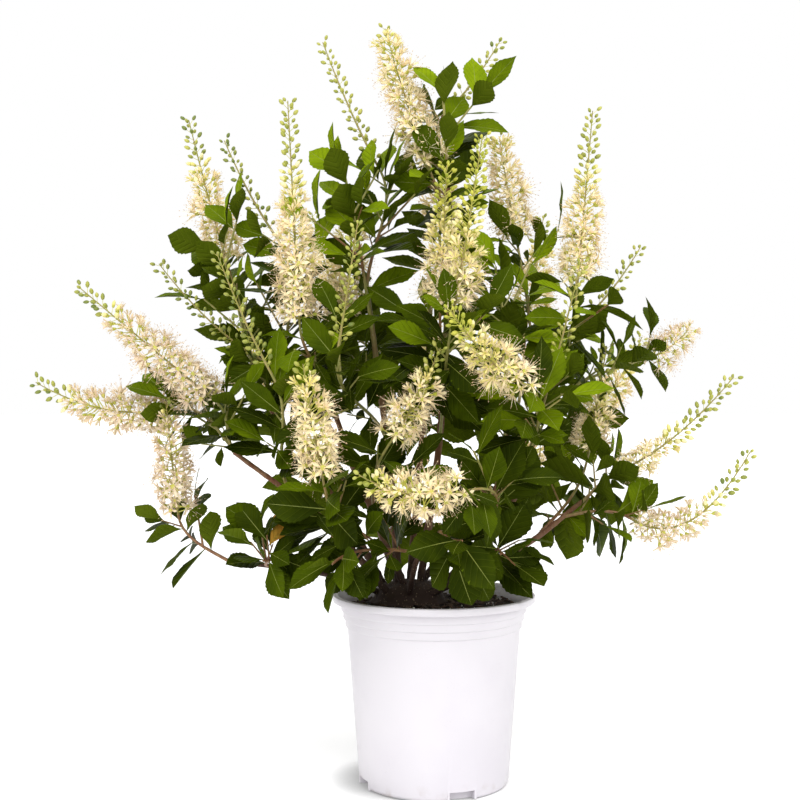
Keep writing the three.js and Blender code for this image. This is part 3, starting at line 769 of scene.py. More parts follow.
BLADE_WIDEST, BLADE_THICKEST = 0.6, 0.35
FINE_TWIGS, FINE_LONG, FINE_LEAF = 8, 24, 46
FINE_THICK, FINE_THIN = 1.0, 0.7
SHOOT_DRAWN, STALK_DRAWN = (1.9, 1.25), (1.35, 0.5)
ROD_STEP = 7


def round_limb(slope, side, angle):
    over = unit(side - slope * np.dot(side, slope))
    return np.cross(slope, over) * math.sin(angle) + over * math.cos(angle)


def rank_near(angle, stray):
    return (math.floor(angle / RANK) + 0.5) * RANK + stray


def spike_path(mass):
    name, _, _, neck, (long, lean, bearing), _ = mass
    neck = np.array(neck, float)
    end = neck + heading(lean, bearing) * (long or 1)
    middle = (neck + end) / 2
    middle[2] -= long * BOWS.get(name, SPIKE_BOW) * math.sin(math.radians(lean))
    return Path(lambda t: (
        (1 - t)[:, None] ** 2 * neck + (2 * t * (1 - t))[:, None] * middle
        + t[:, None] ** 2 * end))


def shoot_path(mass, arrive):
    _, stem, share, neck, _, _ = mass
    start = stems[stem].point(share)
    neck = np.array(neck, float)
    away = unit(unit(neck - start) + 0.6 * stems[stem].slope(share))
    reach = 0.36 * np.linalg.norm(neck - start)
    first, second = start + away * reach, neck - arrive * reach
    return Path(lambda t: (
        (1 - t)[:, None] ** 3 * start + (3 * t * (1 - t) ** 2)[:, None] * first
        + (3 * t ** 2 * (1 - t))[:, None] * second + t[:, None] ** 3 * neck))


def straight(start, end):
    return Path(lambda t: start + (end - start) * np.asarray(t)[:, None])


def leaf_at(path, share, angle, opening, sag, roll, long):
    """Where one leaf sits: its root, the ways it runs, spreads and faces, and its length."""
    slope = path.slope(share)
    out = round_limb(slope, path.side(), angle)
    along = slope * math.cos(opening) + out * math.sin(opening)
    along[2] -= sag
    along = unit(along)
    root = path.point(share)
    away = root - AXIS
    away[2] = 0
    face = slope * 0.4 + UP * 0.5 + unit(away) * 0.7
    face = unit(face - along * np.dot(face, along))
    face = face * math.cos(roll) + np.cross(along, face) * math.sin(roll)
    return root, along, np.cross(face, along), face, long


def spots_round(path, share, angle, opening, sag, roll, long):
    return [leaf_at(path, share, angle + k * RANK, opening, sag, roll, long) for k in range(3)]


def lay_out(mass, index):
    """The leaves and twigs of one shoot, in the order of its seeded numbers."""
    chance = seeded(index + 1)
    spike = spike_path(mass)
    path = shoot_path(mass, spike.slope(0))
    count = min(max(math.floor(path.length / LEAF_PITCH + 0.5) + 4, LEAF_LEAST), LEAF_MOST)
    phase = chance() * 2 * math.pi
    leaf_long = LEAF_LONG * LEAF_SHARES.get(mass[0], 1)
    leaves, twigs, fine = [], [], []
    for i in range(count):
        down = i / count
        share = 0.98 - 0.75 * down - 0.04 * chance()
        opening = math.radians((44 if mass[5] else 26) + 24 * down + 26 * chance())
        sag = 0.35 * down * chance()
        roll = 1.3 * (chance() - 0.5)
        long = leaf_long * (0.85 + 0.25 * down + 0.25 * chance())
        angle = rank_near(phase + i * TURN, 0.5 * (chance() - 0.5))
        found = spots_round(path, share, angle, opening, sag, roll, long)
        leaves.append((mass[0], down, found))
    for i in range(2 if path.length > 150 else 1):
        share = 0.4 + 0.32 * i + 0.08 * chance()
        angle = phase + 1.2 + i * TURN * 1.5
        root, slope = path.point(share), path.slope(share)
        along = unit(slope + 1.1 * round_limb(slope, path.side(), angle))
        long = TWIG_LONG * (0.75 + 0.5 * chance())
        end = root + along * long + UP * long * 0.12
        twig = straight(root, end)
        turn = chance() * 2 * math.pi
        carrier = f"{mass[0]} twig {i}"
        tips = []
        for k in range(3):
            roll = 1.2 * (chance() - 0.5)
            size = leaf_long * (0.8 + 0.3 * chance())
            rank = rank_near(turn + k * TURN, 0)
            tips.append((carrier, 0.15 * k, spots_round(
                twig, 0.97 - 0.14 * k, rank, math.radians(24 + 18 * k), 0.08, roll, size)))
        twigs.append((carrier, twig, tips))
    for i in range(FINE_TWIGS if mass[0] != "spray_left_low" else 2):
        share = 0.96 - 0.8 * (i + 0.6 * chance()) / FINE_TWIGS
        angle = phase + 2.4 + i * TURN
        root, slope = path.point(share), path.slope(share)
        along = unit(slope * 0.8 + round_limb(slope, path.side(), angle))
        long = FINE_LONG * (0.6 + 0.7 * chance())
        twig = straight(root, root + along * long + UP * long * 0.15)
        turn = chance() * 2 * math.pi
        carrier = f"{mass[0]} fine {i}"
        tips = []
        for k in range(4):
            roll = 1.5 * (chance() - 0.5)
            size = FINE_LEAF * (0.75 + 0.5 * chance()) * (1 - 0.06 * k)
            tips.append((carrier, 0.1 + 0.2 * k, spots_round(
                twig, 0.98 - 0.22 * k, turn + k * TURN, math.radians(22 + 17 * k), 0.06 * k,
                roll, size)))
        fine.append((carrier, twig, tips))
    return path, spike, leaves, twigs, fine


def tube(points, radii, sides):
    """A round tube along a line of points, closed at both ends."""
    points = np.asarray(points, float)
    slopes = np.gradient(points, axis=0)
    slopes /= np.linalg.norm(slopes, axis=1)[:, None]
    side = np.cross(UP, points[-1] - points[0])
    side = side if np.linalg.norm(side) > 1e-3 else EAST
    rings = []
    angles = np.arange(sides) * 2 * math.pi / sides
    for at, slope, radius in zip(points, slopes, radii):
        side = unit(side - slope * np.dot(side, slope))
        across = np.cross(slope, side)
        rings.append(at + radius * (
            np.outer(np.sin(angles), across) + np.outer(np.cos(angles), side)))
    faces = []
    for k in range(len(points) - 1):
        for j in range(sides):
            a, b = k * sides + j, k * sides + (j + 1) % sides
            faces += [(a, b, b + sides), (a, b + sides, a + sides)]
    last = (len(points) - 1) * sides
    for j in range(1, sides - 1):
        faces += [(0, j + 1, j), (last, last + j, last + j + 1)]
    return np.concatenate(rings), np.array(faces)


def even_line(path, shares):
    return np.array([path.point(share) for share in shares])


def spike_outline(mass):
    """The shares and radii of the brush of flowers and the buds beyond it."""
    long, bloom = mass[4][0], mass[5]
    shares, radii, start = [], [], 0.02
    if bloom:
        steps = max(3, math.floor(long * bloom / BRUSH_PITCH + 0.5))
        shares += list(np.linspace(start, bloom, steps + 1))
        brush = list(np.linspace(BRUSH_OUT, BRUSH_OUT * 0.7, steps + 1) * 0.85)
        brush[0], brush[-1] = BRUSH_OUT * 0.5, BUD_OUT
        radii += brush
        start = min(bloom + BUD_PITCH / long, 0.99)
    steps = max(1, math.floor(long * (1 - start) / BUD_PITCH + 0.5))
    shares += list(np.linspace(start, 1, steps + 1))
    radii += list(np.linspace(BUD_OUT, SPIKE_THIN, steps + 1) * 0.7)
    return shares, radii


# What is in place already, so that a new leaf or twig can stay clear of it
placed_names, placed_trees = [], []
placed_lows = np.zeros((6000, 3))
placed_highs = np.zeros((6000, 3))


def put_in_place(name, points, faces):
    place = len(placed_names)
    placed_names.append(name)
    placed_trees.append(BVHTree.FromPolygons(points.tolist(), faces.tolist()))
    placed_lows[place] = points.min(axis=0)
    placed_highs[place] = points.max(axis=0)


def is_clear(points, faces, carrier):
    count = len(placed_names)
    low, high = points.min(axis=0), points.max(axis=0)
    near = np.flatnonzero(
        (placed_lows[:count] < high).all(axis=1) & (placed_highs[:count] > low).all(axis=1))
    if not len(near):
        return True
    tree = BVHTree.FromPolygons(points.tolist(), faces.tolist())
    return not any(
        placed_names[k] != carrier and placed_trees[k].overlap(tree) for k in near)


BLADE_FACES = np.array([
    (0, 2, 4), (2, 1, 4), (1, 3, 4), (3, 0, 4), (2, 0, 5), (1, 2, 5), (3, 1, 5), (0, 3, 5)])


def blade(spot, grow=0.0, share=1.0):
    """The plain eight-faced blade that stands for a leaf when room is sought for it."""
    root, along, across, face, long = spot
    wide, thick = long * BLADE_HALF * share + grow, long * BLADE_THICK + grow

    def corner(run, side, lift):
        return root + along * run + across * side + face * lift
    reach = (long + LEAF_ROOT) * share
    widest, thickest = BLADE_WIDEST * reach - LEAF_ROOT, BLADE_THICKEST * reach - LEAF_ROOT
    return np.array([
        corner(-LEAF_ROOT - grow, 0, 0),
        corner(reach - LEAF_ROOT + grow, 0, -BLADE_DROOP * long),
        corner(widest, -wide, BLADE_CUP * long), corner(widest, wide, BLADE_CUP * long),
        corner(thickest, 0, thick), corner(thickest, 0, -thick)])


for name in ("pot", "soil", "crown", *STEMS):
    points, faces = arrays_of(frame["nodes"][name])
    put_in_place(name, points / MM, faces)

plans = [lay_out(mass, index) for index, mass in enumerate(MASSES)]
for mass, (path, spike, _, _, _) in zip(MASSES, plans):
    shares = np.linspace(0, 1, 4)
    put_in_place(mass[0], *tube(
        even_line(path, shares), np.linspace(SHOOT_THICK, SHOOT_THIN, 4), 3))
    if mass[4][0]:
        shares, radii = spike_outline(mass)
        put_in_place(mass[0] + " spike", *tube(even_line(spike, shares), radii, 5))

kept_twigs = []


def keep_twigs(found, thick, thin, room, drawn, rounds):
    """Keeps the twigs that find room, and hands their leaves to each shoot's round."""
    for mass, twigs, leaves in zip(MASSES, found, rounds):
        for carrier, twig, tips in twigs:
            ends = even_line(twig, (0, 1))
            if is_clear(*tube(ends, (thick + room, thin + room), 3), mass[0]):
                put_in_place(carrier, *tube(ends, (thick, thin), 3))
                kept_twigs.append((twig, thick * drawn, thin * drawn))
                leaves += tips


def keep_leaves(rounds, grow, share):
    """Tries the leaves of all the shoots in turn, and keeps those that find room."""
    kept = []
    for turn in range(max(len(leaves) for leaves in rounds)):
        for index, leaves in enumerate(rounds):
            if turn >= len(leaves):
                continue
            carrier, down, found = leaves[turn]
            for spot in found:
                if is_clear(blade(spot, grow, share), BLADE_FACES, carrier):
                    put_in_place("leaf", blade(spot, 0, share), BLADE_FACES)
                    kept.append((index, down, spot))
                    break
    return kept


_, _, main_rounds, main_twigs, fine_twigs = zip(*plans)
keep_twigs(main_twigs, TWIG_THICK, TWIG_THIN, 0.4, 0.8, main_rounds)
leaves = keep_leaves(main_rounds, LEAF_ROOM, 1.0)
fine_rounds = [[] for _ in MASSES]
keep_twigs(fine_twigs, FINE_THICK, FINE_THIN, 0.0, 1.0, fine_rounds)
fine_leaves = keep_leaves(fine_rounds, 0.0, 0.8)

green_shoot, tree, shader = finish("green_shoot")
streaks = use(tree, mottle, Scale=320.0, Stretch=(1, 1, 0.2))
flush = use(tree, mottle, Scale=14.0, Low=0.5, High=0.66)["Mask"]
low_down = use(tree, zone, From=0.36, To=0.24, Wander=0.16)["Mask"]
green = blend(tree, streaks["Mask"], (0.23, 0.24, 0.045), (0.33, 0.30, 0.085))
ruddy = blend(tree, streaks["Mask"], (0.20, 0.085, 0.035), (0.29, 0.15, 0.06))
red_share = math_node(tree, "MAXIMUM", low_down, flush)
feed(tree, shader, {
    "Base Color": blend(tree, red_share, green, ruddy), "Roughness": 0.5,
    "Normal": bumped(tree, streaks["Height"], 0.0003)})

flower_stalk = two_tone(
    "flower_stalk", (0.27, 0.27, 0.05), (0.36, 0.27, 0.10), 0.55, 0.0002,
    Scale=400.0, Stretch=(1, 1, 0.3))

shoots = Heap()


def add_rod(path, steps, thick, thin, sides, slot=0):
    shares = np.linspace(0, 1, steps + 1)
    shoots.add(*tube(even_line(path, shares), np.linspace(thick, thin, steps + 1), sides), slot)


for mass, (path, spike, _, _, _) in zip(MASSES, plans):
    add_rod(path, max(8, int(path.length / ROD_STEP)), *SHOOT_DRAWN, 7)
    if mass[4][0]:
        add_rod(spike, max(8, int(spike.length / ROD_STEP)), *STALK_DRAWN, 6, 1)
for twig, thick, thin in kept_twigs:
    add_rod(twig, 4, thick, thin, 6)
shoots.piece("shoots_and_twigs", [green_shoot, flower_stalk], 60, "foliage", *MASS_NAMES)


# THE LEAVES
# Leathery oval leaves, widest past their middle and toothed on the outer half, folded along
# a pale midrib and grown on short stalks. The old ones are dark and glossy, the young fresh.

LEAF_TONES = {
    # the upper side's colour and its darker mottling, its roughness and how its veins show
    "dark": ((0.034, 0.050, 0.002), (0.020, 0.031, 0.002), 0.34, 0.14),
    "mature": ((0.058, 0.086, 0.002), (0.036, 0.056, 0.002), 0.36, 0.18),
    "light": ((0.116, 0.168, 0.003), (0.074, 0.114, 0.002), 0.40, 0.28),
    "young": ((0.215, 0.300, 0.005), (0.150, 0.222, 0.004), 0.44, 0.34),
    "turning": ((0.52, 0.24, 0.035), (0.40, 0.30, 0.040), 0.5, 0.3),
    "under": ((0.090, 0.125, 0.006), (0.068, 0.098, 0.004), 0.62, 0.45),
}
FRESH_FROM = (("young", 0.64), ("light", 0.34), ("mature", 0.04))
FRESHER = {
    # the shoots whose leaves are fresher than their height tells, or darker below nought
    "tuft_high_left": 0.3, "spray_behind_right": 0.5, "tuft_middle_right": 0.3,
    "spray_left": 0.2, "spray_upper_left": -0.05, "spray_right_high": 0.35,
    "buds_front_right": 0.1, "spray_front_right": 0.05, "buds_right_high": 0.25,
    "spray_right": 0.3, "spray_right_low": 0.4, "spray_right_middle": 0.3,
    "spray_back_high_right": 0.3, "tuft_top_left": -0.15,
    "tuft_top": -0.12, "spray_middle_high": -0.25, "buds_middle": -0.2,
    "spray_behind_left": -0.35, "buds_middle_left": -0.2, "buds_left": -0.1,
    "spray_middle": -0.1, "spray_front": -0.2,
    "leaves_rim_front": -0.3, "leaves_rim_right": -0.3,
}
RIB_GREEN = (0.14, 0.18, 0.014)
LEAF_HALF, LEAF_STALK, RIB_HALF = 0.235, 0.06, 0.0065

# The side veins of a leaf, and the blade puckered between them, by its own marks
veins, ins, outs = effect("veins", {"Pairs": 7.0}, "Mask", "Height")
marks = node(veins, "UVMap", uv_map="blade")[0]
marks = node(veins, "SeparateXYZ", {0: marks})
off = math_node(veins, "ABSOLUTE", math_node(veins, "SUBTRACT", marks["X"], 0.5))
along = math_node(veins, "MULTIPLY", marks["Y"], ins["Pairs"])
saw = math_node(veins, "FRACT", math_node(veins, "MULTIPLY_ADD", off, -5.0, along))
apart = math_node(veins, "ABSOLUTE", math_node(veins, "MULTIPLY_ADD", saw, 2.0, -1.0))
pucker = math_node(veins, "SUBTRACT", 1.0, math_node(veins, "POWER", apart, 3.0))
feed(veins, outs, {"Mask": ramp(veins, apart, 0.84, 0.98), "Height": pucker})


def leaf_material(name, colour, patch, roughness, rib_share):
    made, tree, shader = finish(name)
    patches = use(tree, mottle, Scale=34.0, Low=0.36, High=0.66)["Mask"]
    lines = use(tree, veins)
    skin = blend(tree, patches, colour, patch)
    veined = math_node(tree, "MULTIPLY", lines["Mask"], rib_share)
    feed(tree, shader, {
        "Base Color": blend(tree, veined, skin, RIB_GREEN),
        "Roughness": between(tree, patches, roughness - 0.04, roughness + 0.08),
        "Specular IOR Level": 0.03, "IOR": 1.25,
        "Normal": bumped(tree, lines["Height"], 0.0005)})
    return made


leaf_skins = {tone: leaf_material("leaf_" + tone, *row) for tone, row in LEAF_TONES.items()}
leaf_rib = two_tone("leaf_rib", RIB_GREEN, (0.24, 0.27, 0.04), 0.5, 0.0002, Scale=60.0)


def zip_up(first, first_runs, second, second_runs, turned_over):
    """Triangles between two lines of corners that run the same way."""
    i = j = 0
    faces = []
    while i < len(first) - 1 or j < len(second) - 1:
        on_first = j == len(second) - 1 or (
            i < len(first) - 1 and first_runs[i + 1] <= second_runs[j + 1])
        if on_first:
            faces.append((first[i], first[i + 1], second[j]))
            i += 1
        else:
            faces.append((first[i], second[j + 1], second[j]))
            j += 1
    faces = [face for face in faces if len(set(face)) == 3]
    return [face[::-1] for face in faces] if turned_over else faces


def leaf_master(fold, cup, droop, sway, wave, teeth, blunt, tapering):
    """One leaf of length 1: x runs along it, y across and z out of its upper face."""
    points, marks = [], []

    def half(run):
        part = min(max((run - LEAF_STALK) / (1 - LEAF_STALK), 0.0), 1.0) ** blunt
        return LEAF_HALF * math.sin(math.pi * part) ** (0.9 if part < 0.5 else tapering)

    def corner(run, side, lift=0.0):
        rise = -droop * run ** 2 + fold * abs(side) - cup * side ** 2
        rise += wave * math.sin(run * 17 + (2 if side > 0 else 0)) * abs(side) / 0.26
        points.append((run, side + sway * run ** 2, rise + lift))
        marks.append((0.5 + side / 0.54, run))
        return len(points) - 1

    runs = [0.0, 0.07, 0.22, 0.38, 0.54, 0.70, 0.85, 1.0]
    tip = corner(1.0, 0.0)
    ribs, edges, edge_runs, middles = {}, {}, {}, {}
    for side in (-1, 1):
        ribs[side] = [
            corner(run, side * RIB_HALF * (1 - 0.7 * run), 0.004) for run in runs[:-1]]
        ribs[side].append(tip)
        outline = [(run, half(run)) for run in (0.12, 0.20, 0.29, 0.38)]
        for k in range(teeth):
            run = 0.44 + 0.5 * k / teeth
            outline.append((run + 0.2 / teeth, half(run + 0.2 / teeth) * 1.035))
            outline.append((run + 0.38 / teeth, half(run + 0.38 / teeth) * 0.955))
        edges[side] = ribs[side][:2] + [
            corner(run, side * wide) for run, wide in outline] + [tip]
        edge_runs[side] = [0.0, 0.07] + [run for run, _ in outline] + [1.0]
        middles[side] = ribs[side][1:2] + [
            corner(run, side * 0.5 * half(run), 0.003) for run in runs[2:-1]] + [tip]
    under_runs = [0.0, 0.07, 0.25, 0.5, 0.75, 1.0]
    under = [corner(run, 0.0, -0.012 * (1 - 0.6 * run)) for run in under_runs[:-1]] + [tip]
    faces, slots = [], []

    def skin(made, slot):
        faces.extend(made)
        slots.extend([slot] * len(made))

    for side in (-1, 1):
        over = side > 0
        skin(zip_up(edges[side][1:], edge_runs[side][1:], middles[side], runs[1:], over), 0)
        skin(zip_up(middles[side], runs[1:], ribs[side][1:], runs[1:], over), 0)
        skin(zip_up(edges[side], edge_runs[side], under, under_runs, not over), 2)
    skin(zip_up(ribs[-1], runs, ribs[1], runs, False), 1)
    skin([(ribs[-1][0], ribs[1][0], under[0])], 2)
    return small_thing(points, faces, slots, marks)


LEAF_MASTERS = [
    # fold, cup, droop, sway, wave, teeth on each side, how far out it is widest, and how
    # sharply it tapers to its tip
    leaf_master(0.22, 0.10, 0.08, 0.02, 0.006, 6, 1.20, 1.35),
    leaf_master(0.40, 0.55, 0.12, -0.03, 0.010, 5, 1.25, 1.25),
    leaf_master(0.12, 0.60, 0.16, 0.04, 0.012, 6, 1.30, 1.20),
    leaf_master(0.30, 0.20, 0.22, -0.05, 0.014, 6, 1.45, 1.05),
    leaf_master(0.50, 0.90, 0.05, 0.00, 0.008, 5, 1.55, 0.90),
    leaf_master(0.18, 1.00, 0.02, 0.03, 0.010, 5, 1.65, 0.90),
]

chance = seeded(401)
dealt = {tone: [[] for _ in LEAF_MASTERS] for tone in LEAF_TONES}
for found, fresher in ((leaves, 0.0), (fine_leaves, 0.1)):
    for index, down, (root, along, across, face, long) in found:
        freshness = 0.5 * (1 - down) ** 2 + 0.8 * (min(root[2], 560) - 430) / 560
        freshness += 0.6 * (chance() - 0.5) + FRESHER.get(MASSES[index][0], 0.0)
        freshness += fresher
        tone = next((tone for tone, least in FRESH_FROM if freshness > least), "dark")
        if root[2] < 260 and chance() > 0.985:
            tone = "turning"
        variant = int(chance() * 4) + (2 if root[2] < 330 else 0)
        wide = 0.8 + 0.28 * chance() + (0.22 if root[2] < 300 else 0.0)
        frame_of = (root - along * LEAF_ROOT, along, across * wide, face)
        dealt[tone][variant].append((frame_of, (long + LEAF_ROOT) * 0.9))
for tone, variants in dealt.items():
    heap = Heap()
    for master, copies in zip(LEAF_MASTERS, variants):
        heap.add_copies(master, copies)
    if heap.count:
        heap.piece(f"leaves_{tone}", [leaf_skins[tone], leaf_rib, leaf_skins["under"]],
                   75, "foliage", *MASS_NAMES)


# THE FLOWERS
# Each open flower is five cream petals round a green cup, with a burst of long stamens,
# on a short stalk. They stand out all round the lower part of the spike like a brush.

SOFT_COLOURS = {
    # two colours that drift from place to place, the roughness and the drift's scale
    "petal_cream": ((0.92, 0.81, 0.50), (0.87, 0.70, 0.40), 0.6, 70.0),
    "petal_opening": ((0.80, 0.70, 0.22), (0.88, 0.79, 0.44), 0.6, 70.0),
    # The darker petal and stamen pairs are painted shade, for the flowers of the outer sprays
    "petal_painted_shade": ((0.79, 0.68, 0.48), (0.74, 0.58, 0.38), 0.6, 70.0),
    "stamen_cream": ((0.94, 0.82, 0.56), (0.91, 0.71, 0.46), 0.6, 60.0),
    "stamen_painted_shade": ((0.80, 0.67, 0.50), (0.77, 0.58, 0.43), 0.6, 60.0),
    "anther_buff": ((0.60, 0.40, 0.22), (0.72, 0.54, 0.32), 0.7, 90.0),
    "cup_green": ((0.48, 0.50, 0.06), (0.62, 0.58, 0.12), 0.55, 80.0),
    "bud_green": ((0.15, 0.20, 0.03), (0.36, 0.37, 0.06), 0.5, 60.0),
    "bud_olive": ((0.29, 0.32, 0.04), (0.50, 0.49, 0.10), 0.5, 60.0),
    "bud_lime": ((0.35, 0.38, 0.025), (0.58, 0.56, 0.07), 0.5, 60.0),
}
# The sprays at the far left and far right, whose flowers take the darker copies of the cream:
# painted shade
SHADED_SPRAYS = (
    "spray_left_far", "spray_left", "spray_left_low", "spray_right_low", "spray_right_far")
SLIGHT = {"spray_right": 0.8, "spray_right_low": 0.88, "spray_right_far": 0.85}
LUSH = ("spray_middle_high", "buds_middle", "spray_front_right")
LATE_BLOOM = {"buds_middle": 0.4}
FLOWER_PITCH = 1.35
LUSH_PITCH, TOP_PITCH, BUD_SPIKE_PITCH = 1.2, 2.1, 2.6
STALK_LONG = 8.0
CREAM, YELLOW, SHADE_TINT = range(3)
GREEN_BUD, OLIVE_BUD, LIME_BUD, OPENING_BUD = range(4)

soft = {
    name: two_tone(name, first, second, roughness, 0.0001, 700.0,
                   Scale=scale, Low=0.38, High=0.64)
    for name, (first, second, roughness, scale) in SOFT_COLOURS.items()}


def petals_master(opening):
    """Five petals round the flower's own axis, z. Millimetres."""
    points, faces = [], []
    rise, out = math.cos(math.radians(opening)), math.sin(math.radians(opening))
    outline = [(0, 0, 0), (2.3, -0.6, 0.25), (4.1, -0.88, 0.0), (5.6, 0, -0.7),
               (4.1, 0.88, 0.0), (2.3, 0.6, 0.25)]
    for k in range(5):
        turn = 2 * math.pi * k / 5
        radial = np.array([math.cos(turn), math.sin(turn), 0])
        beside = np.array([-math.sin(turn), math.cos(turn), 0])
        along = radial * out + UP * rise
        facing = UP * out - radial * rise
        start = UP * 2.0 + radial * 0.5
        count = len(points)
        for run, side, lift in [*outline, (3.3, 0, -0.05), (3.3, 0, -0.4)]:
            points.append(start + along * run + beside * side + facing * lift)
        for j in range(6):
            a, b = count + j, count + (j + 1) % 6
            faces += [(b, a, count + 6), (a, b, count + 7)]
    return small_thing(points, faces)


def stamens_master(opening, seed):
    """Twelve hair-fine stamens, each a needle with a small anther at its tip."""
    chance = seeded(seed)
    points, faces = [], []
    for k in range(12):
        turn = 2 * math.pi * (k + 0.8 * chance()) / 12
        lean = math.radians(opening * (0.3 + 0.9 * chance()))
        radial = np.array([math.cos(turn), math.sin(turn), 0])
        beside = np.array([-math.sin(turn), math.cos(turn), 0])
        along = unit(radial * math.sin(lean) + UP * math.cos(lean))
        cross = np.cross(along, beside)
        long = 6.8 + 3.0 * chance()
        start = UP * 1.9 + radial * 0.5
        end = start + along * long
        for middle, girth, length in ((start, 0.27, long), (end - along * 0.5, 0.3, 0.9)):
            count = len(points)
            for j in range(3):
                angle = 2 * math.pi * j / 3
                points.append(
                    middle + girth * (beside * math.cos(angle) + cross * math.sin(angle)))
                faces.append((count + j, count + (j + 1) % 3, count + 3))
            points.append(middle + along * length)
    return small_thing(points, faces, [0, 0, 0, 1, 1, 1] * 12)


def lathed_master(sides, *rings):
    """A small closed round thing from (radius, height) rings with a point at each end."""
    angles = np.arange(sides) * 2 * math.pi / sides
    points = [(0, 0, rings[0][1])]
    for radius, height in rings[1:-1]:
        points += [(radius * math.cos(a), radius * math.sin(a), height) for a in angles]
    points.append((0, 0, rings[-1][1]))
    faces, slots = [], []
    last = len(points) - 1
    for j in range(sides):
        k = (j + 1) % sides
        faces += [(0, 1 + k, 1 + j), (last, last - sides + j, last - sides + k)]
        slots += [0, 1]
        for ring in range(len(rings) - 3):
            a, b = 1 + ring * sides + j, 1 + ring * sides + k
            faces += [(a, b, b + sides), (a, b + sides, a + sides)]
            slots += [int(ring > 0)] * 2
    return small_thing(points, faces, slots)


def recoloured(master, slots):
    """The same master with its material slots changed."""
    return (*master[:2], np.broadcast_to(slots, len(master[1])), master[3])


def flower_frame(at, out, slope):
    """A frame whose z is the flower's own axis."""
    first = unit(np.cross(slope, out))
    return at, first, np.cross(out, first), out


def on_stalk(spike, share, out, slope, size, held, off, sunk):
    """Sets a stalk on the spike, and gives the frame of what it carries."""
    at = spike.point(share) + out * off
    stalk_copies.append((flower_frame(at, out, slope), size * held))
    return flower_frame(at + out * (STALK_LONG * held - sunk) * size, out, slope)


STALK = lathed_master(3, (0, 0.0), (0.42, 0.05), (0.36, STALK_LONG), (0, STALK_LONG + 0.2))
CUP = lathed_master(5, (0, 0.0), (0.9, 0.5), (1.5, 2.6), (0, 2.2))
BUD = lathed_master(6, (0, 0.0), (1.05, 0.5), (1.6, 2.2), (1.15, 3.9), (0, 5.0))
LATE_BUD = lathed_master(6, (0, 0.0), (0.95, 0.5), (1.4, 2.5), (1.35, 4.5), (0, 6.3))

petal_copies = {(state, tint): [] for state in range(3) for tint in (CREAM, YELLOW, SHADE_TINT)}
stamen_copies = {(state, tint): [] for state in range(3) for tint in (CREAM, SHADE_TINT)}
stalk_copies, cup_copies, bud_copies = [], [], [[] for _ in range(4)]
for index, (mass, (_, spike, _, _, _)) in enumerate(zip(MASSES, plans)):
    name, _, _, (east, _, _), (long, _, _), bloom = mass
    if not long:
        continue
    bloom = LATE_BLOOM.get(name, bloom)
    chance = seeded(701 + index)
    shaded_spray, lush = name in SHADED_SPRAYS, name in LUSH
    green_share = 0.8 if east < -155 else 0.15 if east > 155 else 0.1
    side = spike.side()
    count = int(long * bloom / FLOWER_PITCH)
    for i in range(count):
        part = (i + 0.5 * chance()) / count
        share = 0.02 + (bloom - 0.02) * part
        slope = spike.slope(share)
        out = round_limb(slope, side, i * TURN + 0.5 * (chance() - 0.5))
        lift = 0.12 + 0.75 * part ** 2 + 0.35 * (chance() - 0.4)
        out = unit(out + slope * lift)
        size = (1.6 - 0.36 * part ** 3) * (0.78 + 0.42 * chance())
        size *= (1 + 0.1 * math.sin(0.31 * i + index)) * SLIGHT.get(name, 1)
        held = 0.68 + 0.4 * chance()
        seat = on_stalk(spike, share, out, slope, size, held, 0.5, 0.4)
        cup_copies.append((seat, size))
        state = 2 - int(min(2.9, 3 * part ** 1.5 + 0.6 * chance()))
        # Flowers of the outer sprays take the darker copies: painted shade
        tint = SHADE_TINT if shaded_spray else YELLOW if part > 0.88 or state < 2 and lush else CREAM
        petal_copies[state, tint].append((seat, size))
        stamen_copies[state, SHADE_TINT if shaded_spray else CREAM].append(
            (seat, size * (1.0 if state else 0.75)))
    start = bloom + 0.01 if bloom else 0.06
    pitch = LUSH_PITCH if lush else TOP_PITCH if bloom else BUD_SPIKE_PITCH
    count = int(long * (1 - start) / pitch)
    for i in range(count):
        part = (i + 0.3 * chance()) / count
        share = start + (0.995 - start) * part ** (1.2 if bloom else 1.0)
        slope = spike.slope(share)
        out = round_limb(slope, side, i * TURN + 0.6 * (chance() - 0.5))
        out = unit(out + slope * (0.35 + 0.5 * part + 0.3 * chance()))
        size = (1.56 - 0.42 * part if bloom else 1.36 - 0.26 * part) * (0.84 + 0.32 * chance())
        size *= 0.85 if lush else 1.0
        seat = on_stalk(spike, share, out, slope, size, 0.95 if lush else 0.6, 0.4, 0.3)
        if bloom and part < 0.3:
            state = OPENING_BUD
        elif lush:
            state = LIME_BUD
        else:
            state = GREEN_BUD if chance() < green_share else OLIVE_BUD
        bud_copies[state].append((seat, size))

petals, stamens, cups = Heap(), Heap(), Heap()
PETALS = [petals_master(opening) for opening in (30, 48, 64)]
for (state, tint), copies in petal_copies.items():
    petals.add_copies(recoloured(PETALS[state], tint), copies)
petals.piece(
    "flower_petals", [soft["petal_cream"], soft["petal_opening"], soft["petal_painted_shade"]],
    50, "foliage", *MASS_NAMES)
STAMENS = [stamens_master(*spread) for spread in ((32, 11), (50, 12), (66, 13))]
for (state, tint), copies in stamen_copies.items():
    stamens.add_copies(recoloured(STAMENS[state], STAMENS[state][2] + tint), copies)
stamens.piece(
    "flower_stamens", [soft["stamen_cream"], soft["anther_buff"], soft["stamen_painted_shade"],
                       soft["anther_buff"]], 80, "foliage", *MASS_NAMES)
cups.add_copies(STALK, stalk_copies)
cups.add_copies(CUP, cup_copies)
cups.piece("flower_cups_and_stalks", [soft["cup_green"]] * 2, 60, "foliage", *MASS_NAMES)


# THE BUDS
# Beyond the open flowers, and all along the youngest spikes, oval green buds stand on short
# stalks and grow smaller to the tip. The next to open show cream between their sepals.

